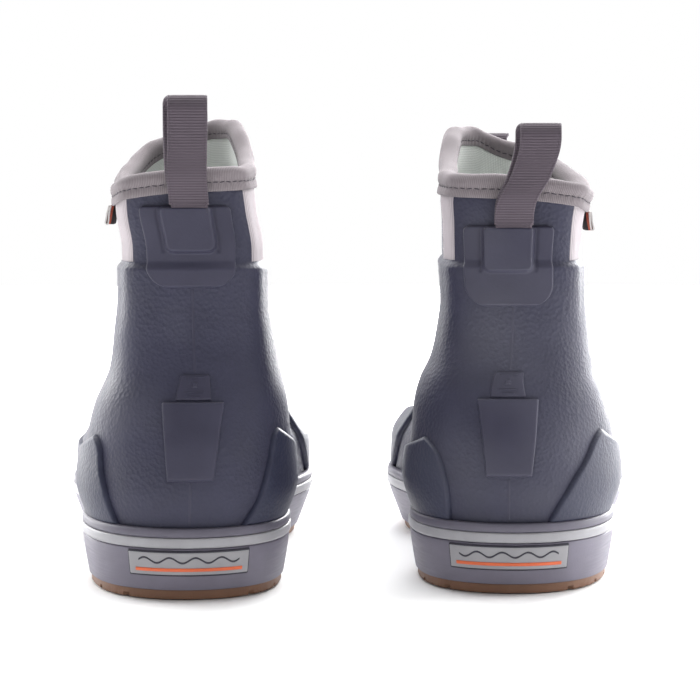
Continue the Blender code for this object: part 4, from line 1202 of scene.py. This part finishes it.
def add_flag(boot):
    """Folded cloth tag that hangs from the binding on the outer side."""
    angle = -angle_at_length(FLAG_Y, boot.collar - BINDING_DEPTH)
    z = collar_height(boot, angle) - BINDING_DEPTH - FLAG_RADIUS - FLAG_GAP
    pivot = upper_point(angle, z, FLAG_OUT)
    turn = np.linspace(0, math.pi, 12)
    path, normals = even_path(np.concatenate((
        arc(FLAG_FOLD_UP, FLAG_FOLD_RADIUS, turn),
        arc(-FLAG_DROP + FLAG_RADIUS, FLAG_RADIUS, turn + math.pi))), 90)

    def line(side, share):
        out, up = (path + normals * side * FLAG_HALF_THICKNESS).T
        across = share * FLAG_LENGTH / 2
        out = out + FLAG_RIPPLE * np.sin(share * 4) * smooth_step(0, FLAG_DROP, -up)
        x = out * math.cos(FLAG_TILT) + up * math.sin(FLAG_TILT) + across * math.tan(FLAG_TURN)
        height = -out * math.sin(FLAG_TILT) + up * math.cos(FLAG_TILT)
        return pivot + np.column_stack((x, np.full(x.size, across), height))

    shape = turned_over(two_sided_shape(np.linspace(-1, 1, 15), line, closed=True))
    add_piece(boot, "side_flag", shape, "flag", ["side_flag"], body=f"side_flag_{boot.name}")


# ---------------------------------------------------------------- the pair and the studio

def build_boot(boot):
    """Make every visible piece of one boot."""
    for add_part in (add_outsole, add_sole_core, add_footbed, add_foxing, add_heel_label,
                     add_toe_bumper, add_shell, add_heel_seam, add_liner, add_gores, add_binding,
                     add_stitches, add_overlays, add_toe_guard, add_heel_plates):
        add_part(boot)
    add_patch(boot, "rear_patch", boot.patch_top, *REAR_PATCH_SIZE, front=False)
    add_patch(boot, "front_patch", boot.patch_top + FRONT_PATCH_RAISE, *FRONT_PATCH_SIZE,
              front=True)
    add_pull_loops(boot)
    add_flag(boot)


def add_light(name, size, power, place):
    """Soft square studio light aimed at a point."""
    light = bpy.data.lights.new(name, "AREA")
    light.shape = "RECTANGLE"
    light.size, light.size_y = size
    light.energy = power
    lamp = bpy.data.objects.new(name, light)
    lamp.location = place
    direction = Vector(LIGHT_TARGET) - Vector(place)
    lamp.rotation_euler = direction.to_track_quat("-Z", "Y").to_euler()
    bpy.context.scene.collection.objects.link(lamp)


def add_studio():
    """White floor, white surroundings that dim towards the camera, and large soft lights."""
    world = bpy.data.worlds.new("studio")
    world.use_nodes = True
    nodes, links = world.node_tree.nodes, world.node_tree.links
    background = nodes["Background"]
    background.inputs["Color"].default_value = (1.0, 1.0, 1.0, 1.0)
    direction = nodes.new("ShaderNodeSeparateXYZ")
    links.new(nodes.new("ShaderNodeTexCoord").outputs["Generated"], direction.inputs["Vector"])
    brightness = nodes.new("ShaderNodeMapRange")
    links.new(direction.outputs["Y"], brightness.inputs["Value"])
    for name, value in (("From Min", -WORLD_EDGE), ("From Max", WORLD_EDGE),
                        ("To Min", WORLD_IN_FRONT), ("To Max", WORLD_BEHIND)):
        brightness.inputs[name].default_value = value
    links.new(brightness.outputs["Result"], background.inputs["Strength"])
    bpy.context.scene.world = world
    bpy.context.scene.view_settings.view_transform = "Standard"
    mesh = bpy.data.meshes.new("studio_floor")
    mesh.from_pydata([(x * FLOOR_REACH, y * FLOOR_REACH, -0.5 * MM)
                      for x, y in ((-1, -1), (1, -1), (1, 1), (-1, 1))], [], [(0, 1, 2, 3)])
    paint = Paint("studio_floor", 0.8, 0.0, 0.2)
    paint.put(paint.shader, {"Base Color": shade((255, 255, 255))})
    mesh.materials.append(paint.material)
    floor = bpy.data.objects.new("studio_floor", mesh)
    bpy.context.scene.collection.objects.link(floor)
    for settings in STUDIO_LIGHTS:
        add_light(*settings)


def add_camera():
    """Camera behind the heels, a little above them."""
    lens = bpy.data.cameras.new("camera")
    lens.lens = CAMERA_LENS
    lens.sensor_width = 36.0
    camera = bpy.data.objects.new("camera", lens)
    camera.location = (0.0, CAMERA_PLANE_Y - CAMERA_DISTANCE, CAMERA_HEIGHT)
    camera.rotation_euler = (math.pi / 2 - CAMERA_PITCH, 0.0, 0.0)
    bpy.context.scene.collection.objects.link(camera)
    bpy.context.scene.camera = camera


for boot in (LEFT, RIGHT):
    build_boot(boot)
add_studio()
add_camera()
